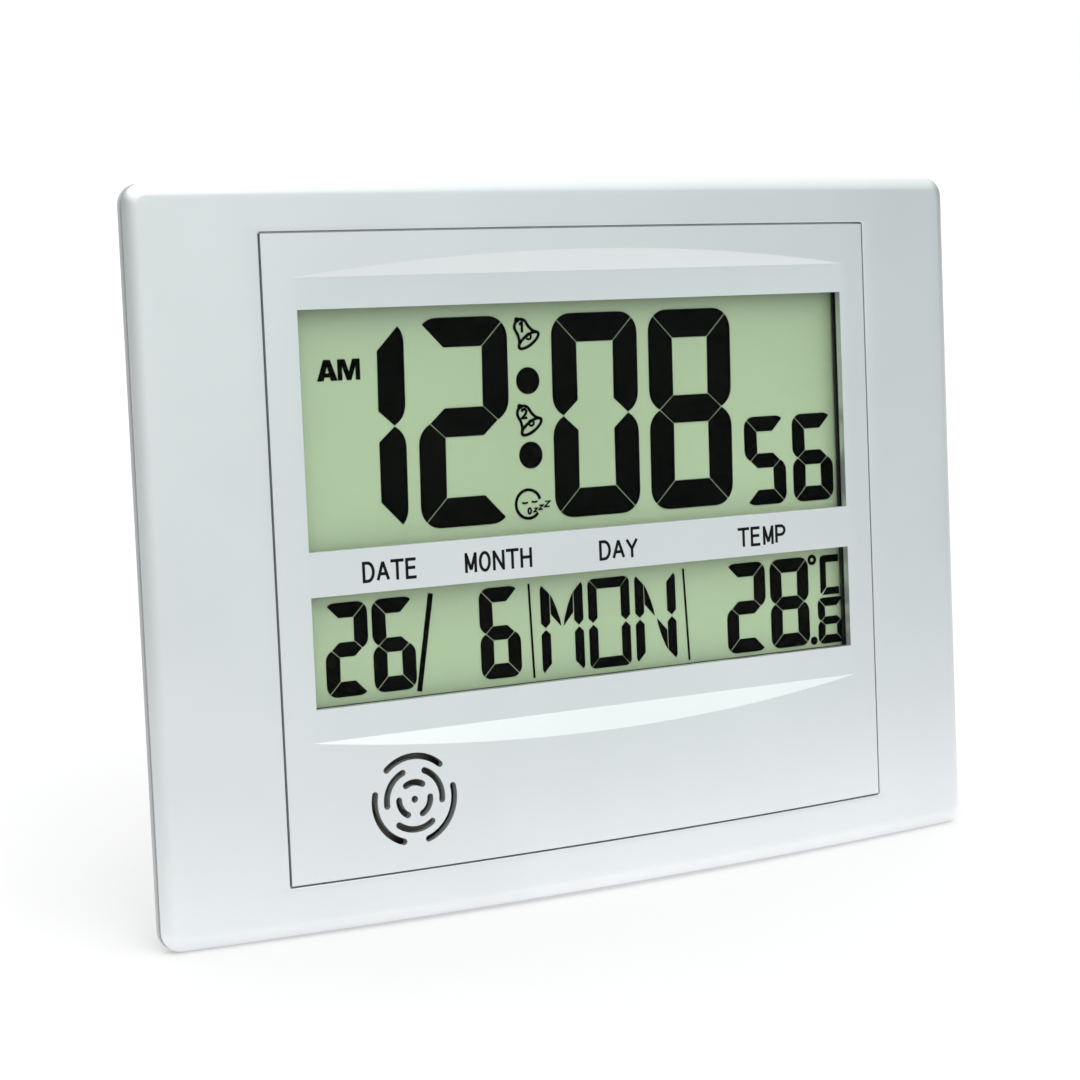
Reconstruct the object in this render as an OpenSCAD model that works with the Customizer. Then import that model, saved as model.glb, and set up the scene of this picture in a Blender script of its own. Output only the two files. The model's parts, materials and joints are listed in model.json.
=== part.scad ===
// Digital alarm clock with a bowed front, an inset display panel and a fold-out stand leg.
// Everything is drawn upright first: X to the right, Y to the back, Z up,
// with Y = 0 where the front frame meets the rear cover and Z = 0 at the case's bottom edge.
// stand() then leans the clock back on its leg.

/* [Case] */
// Width of the case
body_w = 260; // [240:1:280]
// Height of the case
body_h = 194; // [180:1:214]
// Forward bow of the front face at the middle of its width
face_bow = 7.9; // [7:0.1:9]
// Radius of the outline's corners
corner_r = 5.5; // [4:0.5:9]
// Radius of the rounded front edge
edge_r = 2.4; // [1.6:0.1:3]
// Straight rim between the rounded edge and the rear cover
rim_depth = 0.4; // [0.2:0.1:1.2]
// Width of the frame's rim wall
rim_wall = 2; // [1.6:0.1:2.6]
// Wall of the front mouldings
front_wall = 2.2; // [1.8:0.1:2.6]
// Lean of the clock when it stands on its leg, in degrees
lean = 6; // [4:0.5:9]

/* [Front panel] */
// Width of the frame left and right of the panel's opening
frame_side = 34; // [31:0.5:37]
// Height of the frame above and below the panel's opening
frame_end = 12.8; // [11.6:0.2:14]
// Gap of the seam round the panel
seam = 0.5; // [0.3:0.1:0.8]
// Width of the ledge that the panel sits on
ledge_w = 2.5; // [2:0.1:3]
// Thickness of that ledge
ledge_t = 1.8; // [1.4:0.1:2.4]
// Depth of the flat window zone below the crown of the face
flat_recess = 3.6; // [3.5:0.1:4.2]
// Height of the opening below the flat window zone
zone_low = 36.9; // [35.5:0.1:39]
// Height of the opening above the flat window zone
zone_high = 11.8; // [10.8:0.1:13]
// Rise of the slope above the flat zone, at the crown
upper_rise = 5.7; // [4:0.1:8]
// Drop of the slope below the flat zone, at the crown
lower_drop = 6; // [4:0.1:8]

/* [Windows] */
// Distance of the windows from the left and right of the panel's opening
window_side = 9.5; // [9:0.1:12]
// Height of the flat zone below the date window
window_low = 8.5; // [8:0.1:10]
// Height of the flat zone above the time window
window_high = 8.2; // [7.8:0.1:10]
// Height of the date window
date_h = 29.1; // [27:0.1:32]
// Height of the label bar between the windows
bar_h = 11.7; // [10:0.1:13]

/* [Speaker] */
// Distance of the speaker slots' centre from the left of the panel's opening
speaker_side = 35.8; // [30:0.1:46]
// Height of the speaker slots' centre above the lower edge of the opening
speaker_low = 19.1; // [18.8:0.1:20]
// Step between the rings of slots
slot_step = 3.5; // [3:0.1:3.8]
// Width of a slot
slot_w = 1.75; // [1:0.05:2]
// Diameter of the centre hole
slot_hole_d = 1.9; // [1:0.1:2.4]
// Diameter of the buzzer's brass disc
buzzer_d = 28; // [25:0.5:28.5]
// Shoulder of the panel that the disc's edge sits on
buzzer_seat = 1; // [0.8:0.1:1.6]
// Bare edge of the disc round its ceramic
ceramic_margin = 4; // [3.6:0.1:5]
// Thickness of the brass disc
buzzer_t = 0.3; // [0.2:0.1:0.5]

/* [Display] */
// Thickness of the clear lens
lens_t = 1.2; // [1:0.1:1.6]
// Border of the lens behind the panel
lens_border = 2; // [1.5:0.1:2.4]
// Depth of the lens's seat in the back of the panel
lens_seat = 0.6; // [0.3:0.1:0.9]
// Thickness of the bracket's lip between lens and glass
lip_t = 0.8; // [0.5:0.1:1.2]
// Thickness of one LCD glass
glass_t = 0.7; // [0.5:0.1:1.1]
// Gap between the two glasses, which the segments fill
cell_gap = 0.15; // [0.1:0.05:0.3]
// Thickness of the reflector film
reflector_t = 0.2; // [0.1:0.05:0.3]
// Width of the front glass's contact ledge, above and below the rear glass
glass_ledge = 3; // [2.6:0.1:3.4]
// Wall of the LCD bracket
bracket_wall = 1.6; // [1.2:0.1:1.8]
// Height of the contact strips between glass and board
strip_h = 3.6; // [3:0.1:4.5]
// Thickness of the contact strips
strip_t = 2; // [1.4:0.1:2.4]
// Slant of the hour and minute digits, in degrees
time_slant = 1; // [0:0.1:8]
// Slant of the small digits, in degrees
small_slant = 0; // [0:0.1:8]
// Stroke of the hour and minute digits
time_stroke = 8; // [6:0.1:9]
// Stroke of the second digits
second_stroke = 4.4; // [3:0.1:5]
// Stroke of the date and temperature digits
small_stroke = 4.1; // [3:0.1:4.5]
// Stroke of the tenth of a degree
tenth_stroke = 2.6; // [1.8:0.1:3]
// Hairline gap between neighbouring segments
segment_gap = 0.25; // [0.2:0.05:0.6]

/* [Board] */
// Set-back of the board's left and right ends from those of the glass
board_inset = 1.5; // [0.5:0.1:4]
// Distance of the board screws from the board's upper and lower edges
board_screw_edge = 2.6; // [2.4:0.1:2.8]
// Thickness of the main board
board_t = 1.6; // [1.2:0.1:2]
// Diameter of the panel's bosses for the board screws
board_boss_d = 5; // [4.6:0.1:5]
// Diameter of the board screws' shanks
board_screw_d = 2; // [1.8:0.1:2.4]
// Side of a push switch
switch_w = 6; // [5:0.5:7]
// Height of a push switch's body
switch_h = 3.6; // [3:0.1:4.2]
// Diameter of a switch plunger
plunger_d = 3.2; // [2.6:0.1:3.6]
// Diameter of the resin drop over the chip
chip_d = 15; // [10:0.5:20]
// Height of the resin drop over the chip
chip_h = 1.8; // [1:0.1:2.5]

/* [Buttons] */
// Diameter of a rear button
button_d = 8; // [7:0.1:9]
// Height of a button above the rear cover
button_proud = 1.3; // [1.1:0.1:1.8]
// Travel of a button
button_travel = 0.7; // [0.4:0.05:0.9]
// Distance of the button column from the board's left end
button_side = 22; // [14:1:28]
// Height of the lowest button above the board's lower edge
button_low = 30.2; // [26:0.2:34]
// Step between buttons
button_step = 16; // [14:0.5:17]

/* [Rear cover] */
// Thickness of the rear cover's flange
flange_t = 1.9; // [1.6:0.1:2.4]
// Width of the dark parting groove behind the frame
groove_w = 0.4; // [0.2:0.1:0.6]
// Depth of the parting groove
groove_depth = 0.9; // [0.5:0.1:1.2]
// Set-back of the rear housing from the case's left and right edges
housing_side = 12; // [10:0.5:13]
// Set-back of the rear housing from the case's top and bottom edges
housing_end = 5; // [4:0.5:6]
// Depth of the rear housing behind the parting plane
housing_depth = 19; // [18.6:0.2:22]
// Draft of the housing's walls over its depth
housing_draft = 2; // [1:0.1:2.5]
// Radius of the housing's rear edges
housing_edge_r = 4; // [2.5:0.5:5]
// Radius of the housing's upright corners
housing_corner_r = 10; // [8:1:14]
// Wall of the rear cover
rear_wall = 2; // [1.6:0.1:2.2]
// Diameter of the case screws' shanks
case_screw_d = 2.6; // [2.2:0.1:3]
// Distance of the case screws from the sides of the housing
case_screw_side = 10; // [9:0.5:12]
// Height of the lower case screws
case_screw_low = 54; // [52:1:60]
// Distance of the upper case screws from the top of the case
case_screw_end = 18; // [16:1:24]

/* [Wall hanging] */
// Diameter of the keyhole's round part
keyhole_d = 8.5; // [7.5:0.1:9.5]
// Width of the keyhole's slot
keyhole_slot_w = 4.4; // [3.6:0.1:5]
// Length of the keyhole's slot above the round part's centre
keyhole_slot = 10; // [8:0.5:12]
// Distance of the keyhole's round part from the top of the case
keyhole_drop = 44; // [40:1:48]

/* [Battery box] */
// Diameter of a cell
cell_d = 14.2; // [13.8:0.1:14.5]
// Length of a cell with its nub
cell_l = 50.5; // [49.5:0.1:50.5]
// Room in the battery box beyond a cell's length, for plate and spring
spring_room = 7; // [6:0.1:8]
// Step between the two cells
cell_step = 15; // [14.9:0.1:15.2]
// Gap between the battery box and the main board above it
box_gap = 0.7; // [0.4:0.1:1.2]
// Distance of the battery box from the right side of the housing
box_side = 12.5; // [11.5:0.5:18]
// Thickness of the battery door
door_t = 2.2; // [2:0.1:2.6]
// Width of the door's runner on each side
runner_w = 1.4; // [1:0.1:1.6]
// Sliding clearance of the door
door_gap = 0.25; // [0.15:0.05:0.35]

/* [Stand leg] */
// Width of the stand leg
leg_w = 44; // [36:1:50]
// Thickness of the stand leg
leg_t = 3.4; // [3:0.1:4]
// Opening angle of the stand leg, in degrees
leg_open = 15; // [13:0.5:18]
// Height of the stand leg's hinge
leg_hinge_z = 100; // [95:1:104]
// Diameter of the hinge pins
leg_pin_d = 3.2; // [2.8:0.1:3.6]
// Radial running clearance of the hinge pins
leg_pin_gap = 0.08; // [0.05:0.01:0.1]

/* [Hidden] */

// Smoothness of small round parts and of the wide bow
$fn = 48;
bow_fn = 1440;
// Overshoot of a cut past a face
eps = 1;

// Colours
silver = [0.83, 0.86, 0.85];
light_grey = [0.78, 0.79, 0.79];
dark_grey = [0.16, 0.17, 0.17];
lcd_green = [0.67, 0.77, 0.62];
ink = [0.04, 0.04, 0.03];
board_green = [0.12, 0.36, 0.2];
steel = [0.7, 0.71, 0.72];
brass = [0.8, 0.66, 0.33];

// Front face: an upright cylinder through the crown and both side edges
face_r = (pow(body_w / 2, 2) + pow(face_bow, 2)) / (2 * face_bow);
crown_y = -(rim_depth + edge_r + face_bow);
axis_y = crown_y + face_r;
front_y = crown_y - eps;
bow_angle = 2 * asin(body_w / 2 / face_r) + 4;
blank_depth = face_bow + rim_depth + 20;
plan_slack = 0.02;

// Panel and windows
panel_w = body_w - 2 * frame_side;
panel_h = body_h - 2 * frame_end;
panel_bottom = frame_end;
flat_y = crown_y + flat_recess;
lens_y = flat_y + front_wall;
zone_bottom = panel_bottom + zone_low;
zone_top = panel_bottom + panel_h - zone_high;
window_w = panel_w - 2 * window_side;
date_bottom = zone_bottom + window_low;
time_bottom = date_bottom + date_h + bar_h;
time_top = zone_top - window_high;
time_h = time_top - time_bottom;
seat_gap = 0.1;
backing_gap = 1;

// Display stack, from front to back
lens_w = window_w + 2 * lens_border;
lens_bottom = date_bottom - lens_border;
lens_h = time_top - date_bottom + 2 * lens_border;
lens_play = 0.15;
lip_y = lens_y + lens_t;
front_glass_y = lip_y + lip_t;
cell_y = front_glass_y + glass_t;
rear_glass_y = cell_y + cell_gap;
reflector_y = rear_glass_y + glass_t;
board_y = cell_y + strip_h;
glass_border = 3;
glass_play = 0.3;
glass_w = window_w + 2 * glass_border;
rear_glass_bottom = lens_bottom;
rear_glass_h = lens_h;
front_glass_bottom = rear_glass_bottom - glass_ledge;
front_glass_h = rear_glass_h + 2 * glass_ledge;
bracket_w = glass_w + 2 * (glass_play + bracket_wall);
bracket_bottom = front_glass_bottom - glass_play - bracket_wall;
bracket_h = front_glass_h + 2 * (glass_play + bracket_wall);
strip_short = 8;
strip_l = glass_w - strip_short;

// Board and what is on it
board_w = glass_w - 2 * board_inset;
board_back = board_y + board_t;
board_screw_side = 6;
board_screw_x = board_w / 2 - board_screw_side;
boss_gap = 0.4;
board_screw_low = bracket_bottom - boss_gap - board_boss_d / 2;
board_screw_high = bracket_bottom + bracket_h + boss_gap + board_boss_d / 2;
board_screw_at = [for (side = [-1, 1], z = [board_screw_low, board_screw_high]) [side * board_screw_x, z]];
board_bottom = board_screw_low - board_screw_edge;
board_h = board_screw_high + board_screw_edge - board_bottom;
screw_play = 0.05;
pilot_extra = 0.4;
board_corner_r = 1;
board_hole_play = 0.2;
board_screw_l = 6;
board_pilot_y = board_back - board_screw_l - pilot_extra;
board_head_d = 4;
board_head_h = 1.4;
board_mid = board_bottom + board_h / 2;
chip_rise = 6;
chip_at = [0, board_mid + chip_rise];
crystal_side = 26;
crystal_rise = 14;
crystal_at = [crystal_side, board_mid + crystal_rise];
crystal_d = 2.2;
crystal_l = 6.4;
bead_d = 3;
bead_lead_l = 6;
bead_lead_d = 0.5;
bead_lead_gap = 1.3;
capacitor_side = 30;
capacitor_rise = 8;
capacitor_at = [-capacitor_side, board_mid + capacitor_rise];
capacitor_d = 5;
capacitor_h = 6;
right_chips_side = 36;
right_chips_rise = 2;
left_chips_side = 20;
left_chips_rise = 28;
chips_at = [
    [right_chips_side, board_mid + right_chips_rise],
    [-left_chips_side, board_mid + left_chips_rise]
];
chip_l = 2;
chip_t = 0.6;
chip_w = 1.2;
chip_step = 5;
chip_count = 4;

// Speaker
speaker_x = panel_w / 2 - speaker_side;
speaker_z = panel_bottom + speaker_low;
ring_wall = 1.8;
buzzer_play = 0.3;
buzzer_hole_d = buzzer_d - 2 * buzzer_seat;
ceramic_d = buzzer_d - 2 * ceramic_margin;
slot_margin = 0.75;
slot_ring_r = buzzer_hole_d / 2 - slot_margin - slot_w / 2;
slot_end_shy = 0.04;
// Angle that a slot covers in the outer, middle and inner ring
slot_spans = [84, 74, 64];
buzzer_depth = 4;
buzzer_y = flat_y + buzzer_depth;
ceramic_t = 0.25;
retainer_t = 1.7;
retainer_play = 0.05;
retainer_d = buzzer_d - 2 * retainer_play;
lead_d = 1;
lead_gap = 0.02;
rim_lead_r = ceramic_d / 2 + lead_d / 2 + lead_gap;
retainer_hole_d = 2 * (rim_lead_r + lead_d / 2 + 3 * lead_gap);
lead_rise = 2.4;
pad_edge = 4;

// Rear cover
housing_w = body_w - 2 * housing_side;
housing_h = body_h - 2 * housing_end;
inner_back = housing_depth - rear_wall;
boss_end = 5;
case_boss_d = 7;
pillar_d = 9;
case_head_d = 5.6;
case_head_h = 2;
case_head_y = boss_end + 3.5;
case_screw_l = 11;
case_pilot_y = case_head_y - case_screw_l - pilot_extra;
head_play = 0.4;
case_screw_x = housing_w / 2 - case_screw_side;
case_screw_high = body_h - case_screw_end;
case_screw_at = [for (side = [-1, 1], z = [case_screw_low, case_screw_high]) [side * case_screw_x, z]];
keyhole_z = body_h - keyhole_drop;
keyhole_room = 4;
keyhole_margin = 3;
vent_count = 5;
vent_w = 1.6;
vent_h = 14;
vent_step = 4;
vent_side = 26;
vent_drop = 48;
vent_x = board_w / 2 - vent_side;
vent_z = body_h - vent_drop;

// Buttons
button_names = ["mode", "set", "up", "down", "alarm"];
button_x = board_w / 2 - button_side;
button_z = board_bottom + button_low;
button_gap = 0.25;
button_flange_w = 1.3;
button_flange_t = 1.2;
button_stem_d = 4;
button_round = 0.6;
switch_top = board_back + switch_h;
plunger_proud = 1;
plunger_depth = 1.2;
plunger_gap = 0.1;
press_gap = 0.05;

// Battery box
comp_w = cell_l + spring_room;
comp_h = 2 * cell_step;
box_left = housing_w / 2 - box_side - comp_w;
box_bottom = board_bottom - box_gap - runner_w - rear_wall - comp_h;
comp_back = housing_depth - door_t - door_gap;
cell_play = 0.3;
cell_y0 = comp_back - cell_play - cell_d / 2;
comp_front = cell_y0 - cell_d / 2 - cell_play;
box_wall = 1.5;
door_margin = 1;
door_overlap = 2;
door_inset = 2.5;
door_left = box_left - door_overlap;
door_right = housing_w / 2 - housing_draft - door_inset;
door_bottom = box_bottom - door_margin;
door_h = comp_h + 2 * door_margin;
door_lid_t = 1;
grip_count = 4;
grip_start = 6;
grip_w = 1.4;
grip_step = 3;
grip_depth = 0.4;
plate_t = 0.4;
plate_w = 8;
left_plate = box_left + plate_t;
right_plate = box_left + comp_w - plate_t;
tail_w = 2;
tail_play = 0.2;
tail_y = comp_front + 2 * tail_play;
tail_proud = 2;
tail_end = box_bottom + comp_h + rear_wall + tail_proud;
battery_pad_side = 14;
battery_pad_x = board_w / 2 - battery_pad_side;
battery_pad_step = 4;
battery_lead_z = 2;
cell_z = [box_bottom + cell_step / 2, box_bottom + cell_step * 1.5];
nub_d = 5.5;
nub_l = 1.3;
touch = 0.02;
spring_wire = 0.7;
spring_turns = 4;
spring_r = [4.6, 3];

// Stand leg: pivot, stop and foot
leg_skin = 0.4;
leg_face = 0.8;
pivot_y = housing_depth - leg_skin - leg_t + leg_face;
barrel_r = leg_pin_d / 2 + 1;
barrel_gap = 0.25;
floor_gap = barrel_r + barrel_gap;
recess_floor = pivot_y - floor_gap;
stop_gap = 0.05;
heel = (floor_gap - stop_gap - leg_face * cos(leg_open)) / sin(leg_open);
leg_side_gap = 0.6;
recess_top_gap = 1;
leg_rise = leg_hinge_z * cos(lean) - (pivot_y - flange_t) * sin(lean);
leg_tilt = leg_open - lean;
leg_length = leg_rise / cos(leg_tilt);
leg_back = leg_t - leg_face;
pin_short = 0.2;
pin_reach = rear_wall - pin_short;
rib_t = 1.4;
rib_h = 1;
rib_inset = 6;
rib_short = 8;

// Place of the leaning clock: lowest edge at Z = 0, box centred on X and Y
function leaned(p) = [p[0] * cos(lean) + p[1] * sin(lean), -p[0] * sin(lean) + p[1] * cos(lean)];
foot = [pivot_y, leg_hinge_z]
    + (leg_length + leg_back * tan(leg_tilt)) * [sin(leg_open), -cos(leg_open)]
    + leg_back * [cos(leg_open), sin(leg_open)];
reach_back = leaned(foot)[0];
reach_front = leaned([crown_y + edge_r, edge_r])[0] - edge_r;
row_shift = [0, -(reach_back + reach_front) / 2, flange_t * sin(lean)];

// Digits in the time window, from the left: two for the hour, two for the minute, two small seconds
second_digit_w = 14.3;
second_digit_gap = 2.6;
second_margin = 0.7;
second_gap = 4.15;
digit_margin = 4.65;
time_digit_gap = 3.8;
colon_room = 13.9;
second_room = second_gap + 2 * second_digit_w + second_digit_gap + second_margin;
time_digit_w = (window_w - digit_margin - 2 * time_digit_gap - colon_room - second_room) / 4;
time_digit_step = time_digit_w + time_digit_gap;
hour_x = -window_w / 2 + digit_margin + time_digit_w / 2 + time_digit_step;
minute_x = hour_x + time_digit_w + colon_room;
second_step = second_digit_w + second_digit_gap;
second_x = window_w / 2 - second_margin - second_digit_w / 2 - second_step;
time_digit_low = 3.1;
time_digit_high = 3.2;
time_digit_z = time_bottom + time_digit_low;
time_digit_h = time_h - time_digit_low - time_digit_high;
second_digit_low = 2.1;
second_digit_h = 25.4;
second_digit_z = time_bottom + second_digit_low;
colon_d = 7.3;
colon_gap = 6.35;
colon_step = 20.2;
colon_x = hour_x + time_digit_w / 2 + colon_gap;
colon_z = time_digit_z + time_digit_h / 2;

// Digits in the date window: day of the month, month, degrees and a small tenth of a degree
date_digit_w = 12.6;
date_digit_gap = 1.3;
date_digit_low = 1.9;
date_digit_high = 2.4;
date_digit_z = date_bottom + date_digit_low;
date_digit_h = date_h - date_digit_low - date_digit_high;
date_digit_step = date_digit_w + date_digit_gap;
date_margin = 5.7;
date_x = -window_w / 2 + date_margin + date_digit_w / 2;
month_step = 46.3;
month_x = date_x + month_step;
tenth_digit_h = 13.5;
tenth_digit_w = 9.4;
tenth_digit_low = 0.7;
tenth_margin = 3.1;
tenth_digit_z = date_bottom + tenth_digit_low;
tenth_x = window_w / 2 - tenth_margin;
degree_digit_w = 13.7;
degree_digit_gap = 1.7;
degree_digit_low = 0.9;
degree_digit_high = 2.4;
degree_digit_z = date_bottom + degree_digit_low;
degree_digit_h = date_h - degree_digit_low - degree_digit_high;
degree_digit_step = degree_digit_w + degree_digit_gap;
tenth_step = 14.7;
degree_x = tenth_x - tenth_step - degree_digit_step;

// Kinds of digit: lower end, width, height, stroke, slant
TIME = [time_digit_z, time_digit_w, time_digit_h, time_stroke, time_slant];
SECOND = [second_digit_z, second_digit_w, second_digit_h, second_stroke, small_slant];
DATE = [date_digit_z, date_digit_w, date_digit_h, small_stroke, small_slant];
DEGREE = [degree_digit_z, degree_digit_w, degree_digit_h, small_stroke, small_slant];
TENTH = [tenth_digit_z, tenth_digit_w, tenth_digit_h, tenth_stroke, small_slant];
// Digits shown: digit, centre, kind
DIGITS = [
    [1, hour_x - time_digit_step, TIME],
    [2, hour_x, TIME],
    [0, minute_x, TIME],
    [8, minute_x + time_digit_step, TIME],
    [5, second_x, SECOND],
    [6, second_x + second_step, SECOND],
    [2, date_x, DATE],
    [6, date_x + date_digit_step, DATE],
    [6, month_x, DATE],
    [2, degree_x, DEGREE],
    [8, degree_x + degree_digit_step, DEGREE],
    [6, tenth_x, TENTH]
];
// Segments lit for each digit: top, upper right, lower right, bottom, lower left, upper left, middle
LIT = [
    [1, 1, 1, 1, 1, 1, 0], [0, 1, 1, 0, 0, 0, 0], [1, 1, 0, 1, 1, 0, 1], [1, 1, 1, 1, 0, 0, 1],
    [0, 1, 1, 0, 0, 1, 1], [1, 0, 1, 1, 0, 1, 1], [1, 0, 1, 1, 1, 1, 1], [1, 1, 1, 0, 0, 0, 0],
    [1, 1, 1, 1, 1, 1, 1], [1, 1, 1, 1, 0, 1, 1]
];
// Rounds and waists of the segments, as shares of the stroke
round_share = 0.75;
waist_share = 0.42;

// General shapes

// Extrudes a drawing of X and Z from y0 to y1
module along_y(y0, y1) {
    translate([0, y1, 0]) rotate([90, 0, 0]) linear_extrude(y1 - y0) children();
}

// Extrudes a drawing of Y and Z from x0 to x1
module along_x(x0, x1) {
    translate([x0, 0, 0]) rotate([90, 0, 90]) linear_extrude(x1 - x0) children();
}

// A cylinder along Y
module rod_y(d, y0, y1) {
    along_y(y0, y1) circle(d = d);
}

// Centre of a round of radius r in the corner p between edges a and b, and how far along them it reaches
function round_centre(p, a, b, r) = p + (a + b) / norm(a + b) * r / sin(acos(a * b) / 2);
function round_reach(a, b, r) = r / tan(acos(a * b) / 2);

// What is left outside such a round
module corner_cut(p, a, b, r) {
    centre = round_centre(p, a, b, r);
    reach = round_reach(a, b, r);
    past = 1.5;
    difference() {
        polygon([
            centre,
            centre + past * (p + a * reach - centre),
            p - r * (a + b) / norm(a + b),
            centre + past * (p + b * reach - centre)
        ]);
        translate(centre) circle(r = r);
    }
}

// A rectangle with round corners, centred on X, with its lower edge at bottom
module rounded_rect(w, h, r, bottom = 0) {
    difference() {
        translate([-w / 2, bottom]) square([w, h]);
        for (side = [-1, 1], end = [0, 1])
            corner_cut([side * w / 2, bottom + end * h], [-side, 0], [0, 1 - 2 * end], r);
    }
}

// A plain rectangle, centred on X
module rect(w, h, bottom) {
    translate([-w / 2, bottom]) square([w, h]);
}

// A box from one corner to the opposite one
module block(low, high) {
    translate(low) cube(high - low);
}

// Everything behind the bowed face, set back from it by depth
module behind_face(depth) {
    translate([0, axis_y, -eps]) cylinder(r = face_r - depth, h = body_h + 2 * eps, $fn = bow_fn);
}

// Stands the upright clock on its leg
module stand() {
    translate(row_shift) rotate([-lean, 0, 0]) children();
}

// Front frame

// The bow with rounded upper and lower edges
module bow_rounded_ends() {
    translate([0, axis_y, 0])
        rotate([0, 0, -90 - bow_angle / 2])
            rotate_extrude(angle = bow_angle, $fn = bow_fn)
                difference() {
                    translate([face_r - blank_depth, 0]) square([blank_depth, body_h]);
                    corner_cut([face_r, 0], [-1, 0], [0, 1], edge_r);
                    corner_cut([face_r, body_h], [-1, 0], [0, -1], edge_r);
                }
}

// The plan of the case with rounded left and right edges
module plan_rounded_sides() {
    plan_r = face_r + plan_slack;
    side_x = body_w / 2 - edge_r;
    side_y = axis_y - sqrt(pow(plan_r - edge_r, 2) - pow(side_x, 2));
    linear_extrude(body_h)
        difference() {
            intersection() {
                translate([0, axis_y]) circle(r = plan_r, $fn = bow_fn);
                translate([-body_w / 2, front_y]) square([body_w, -front_y]);
            }
            for (side = [-1, 1]) {
                centre = [side * side_x, side_y];
                outward = (centre - [0, axis_y]) / norm(centre - [0, axis_y]);
                difference() {
                    polygon([
                        centre,
                        centre + outward * 2 * edge_r,
                        [side * (body_w / 2 + eps), side_y - 2 * edge_r],
                        [side * (body_w / 2 + eps), side_y]
                    ]);
                    translate(centre) circle(r = edge_r);
                }
            }
        }
}

module frame_blank() {
    intersection() {
        bow_rounded_ends();
        plan_rounded_sides();
        along_y(front_y, 0) rounded_rect(body_w, body_h, corner_r);
    }
}

module frame_hollow() {
    difference() {
        intersection() {
            behind_face(front_wall);
            along_y(front_y, eps)
                rounded_rect(body_w - 2 * rim_wall, body_h - 2 * rim_wall, corner_r, rim_wall);
        }
        difference() {
            along_y(front_y, eps)
                rect(panel_w + 2 * ledge_w, panel_h + 2 * ledge_w, panel_bottom - ledge_w);
            behind_face(front_wall + ledge_t);
        }
    }
}

module front_frame() {
    color(silver)
        stand()
            difference() {
                union() {
                    difference() {
                        frame_blank();
                        frame_hollow();
                    }
                    intersection() {
                        behind_face(front_wall / 2);
                        for (at = case_screw_at)
                            translate([at[0], 0, at[1]]) rod_y(case_boss_d, front_y, boss_end);
                    }
                }
                along_y(front_y, eps)
                    rect(panel_w - 2 * ledge_w, panel_h - 2 * ledge_w, panel_bottom + ledge_w);
                difference() {
                    along_y(front_y, eps) rect(panel_w, panel_h, panel_bottom);
                    behind_face(front_wall + seat_gap);
                }
                for (at = case_screw_at)
                    translate([at[0], 0, at[1]])
                        rod_y(case_screw_d + 2 * screw_play, case_pilot_y, boss_end + eps);
            }
}

// Front panel

// Shift along Z of a slope of the given rise per depth when it is moved back square to itself by grow
function slope_shift(rise, grow) = grow * (sqrt(1 + pow(rise, 2)) - rise);

// The flat zone with its upper and lower slopes, grown by the wall for what stands behind it
module zone(half, grow) {
    up = upper_rise / flat_recess;
    down = lower_drop / flat_recess;
    reach = flat_recess + grow + eps;
    back = flat_y + grow;
    low = zone_bottom - slope_shift(down, grow);
    high = zone_top + slope_shift(up, grow);
    along_x(-half, half)
        polygon([
            [back, low],
            [back, high],
            [back - reach, high + up * reach],
            [back - reach, low - down * reach]
        ]);
}

// One slot of the speaker, centred on the angle at, with round ends a hair narrower than the slot
module arc_slot(r, at, span) {
    half = span / 2;
    far = 2 * r;
    rotate(at + 180) {
        difference() {
            intersection() {
                circle(r = r + slot_w / 2);
                polygon([
                    [0, 0],
                    far * [-cos(half), -sin(half)],
                    [-far / cos(half), 0],
                    far * [-cos(half), sin(half)]
                ]);
            }
            circle(r = r - slot_w / 2);
        }
        for (side = [-1, 1])
            rotate(side * half) translate([-r, 0]) rotate(side * 90) circle(d = slot_w - slot_end_shy);
    }
}

// Three rings of three slots, the middle ring turned by half a step
module speaker_slots() {
    for (ring = [0:2], turn = [0:2])
        arc_slot(slot_ring_r - ring * slot_step, 90 + 120 * turn + (ring == 1 ? 60 : 0), slot_spans[ring]);
    circle(d = slot_hole_d);
}

module panel_hollow() {
    difference() {
        behind_face(front_wall);
        zone(panel_w / 2 - ledge_w - backing_gap, front_wall + lens_seat);
        translate([-speaker_x, 0, speaker_z])
            difference() {
                rod_y(buzzer_d + 2 * (buzzer_play + ring_wall), front_y, buzzer_y + buzzer_t + retainer_t);
                rod_y(buzzer_hole_d, front_y - eps, board_y);
                rod_y(buzzer_d + 2 * buzzer_play, buzzer_y, board_y);
            }
        for (at = board_screw_at)
            translate([at[0], 0, at[1]]) rod_y(board_boss_d, front_y, board_y);
    }
}

module panel_shell() {
    difference() {
        intersection() {
            behind_face(0);
            along_y(front_y, board_y) rect(panel_w - 2 * seam, panel_h - 2 * seam, panel_bottom + seam);
        }
        zone(panel_w / 2 + eps, 0);
        panel_hollow();
    }
}

module front_panel() {
    color(silver)
        stand()
            difference() {
                panel_shell();
                along_y(lens_y, board_y + eps)
                    rect(lens_w + 2 * lens_play, lens_h + 2 * lens_play, lens_bottom - lens_play);
                along_y(front_y, board_y) rect(window_w, date_h, date_bottom);
                along_y(front_y, board_y) rect(window_w, time_h, time_bottom);
                translate([-speaker_x, 0, speaker_z]) along_y(front_y, buzzer_y - eps / 2) speaker_slots();
                for (at = board_screw_at)
                    translate([at[0], 0, at[1]])
                        rod_y(board_screw_d + 2 * screw_play, board_pilot_y, board_y + eps);
            }
}

// Display stack

module display_lens() {
    color([0.9, 0.95, 0.95, 0.3])
        stand()
            along_y(lens_y, lip_y) rect(lens_w, lens_h, lens_bottom);
}

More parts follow.
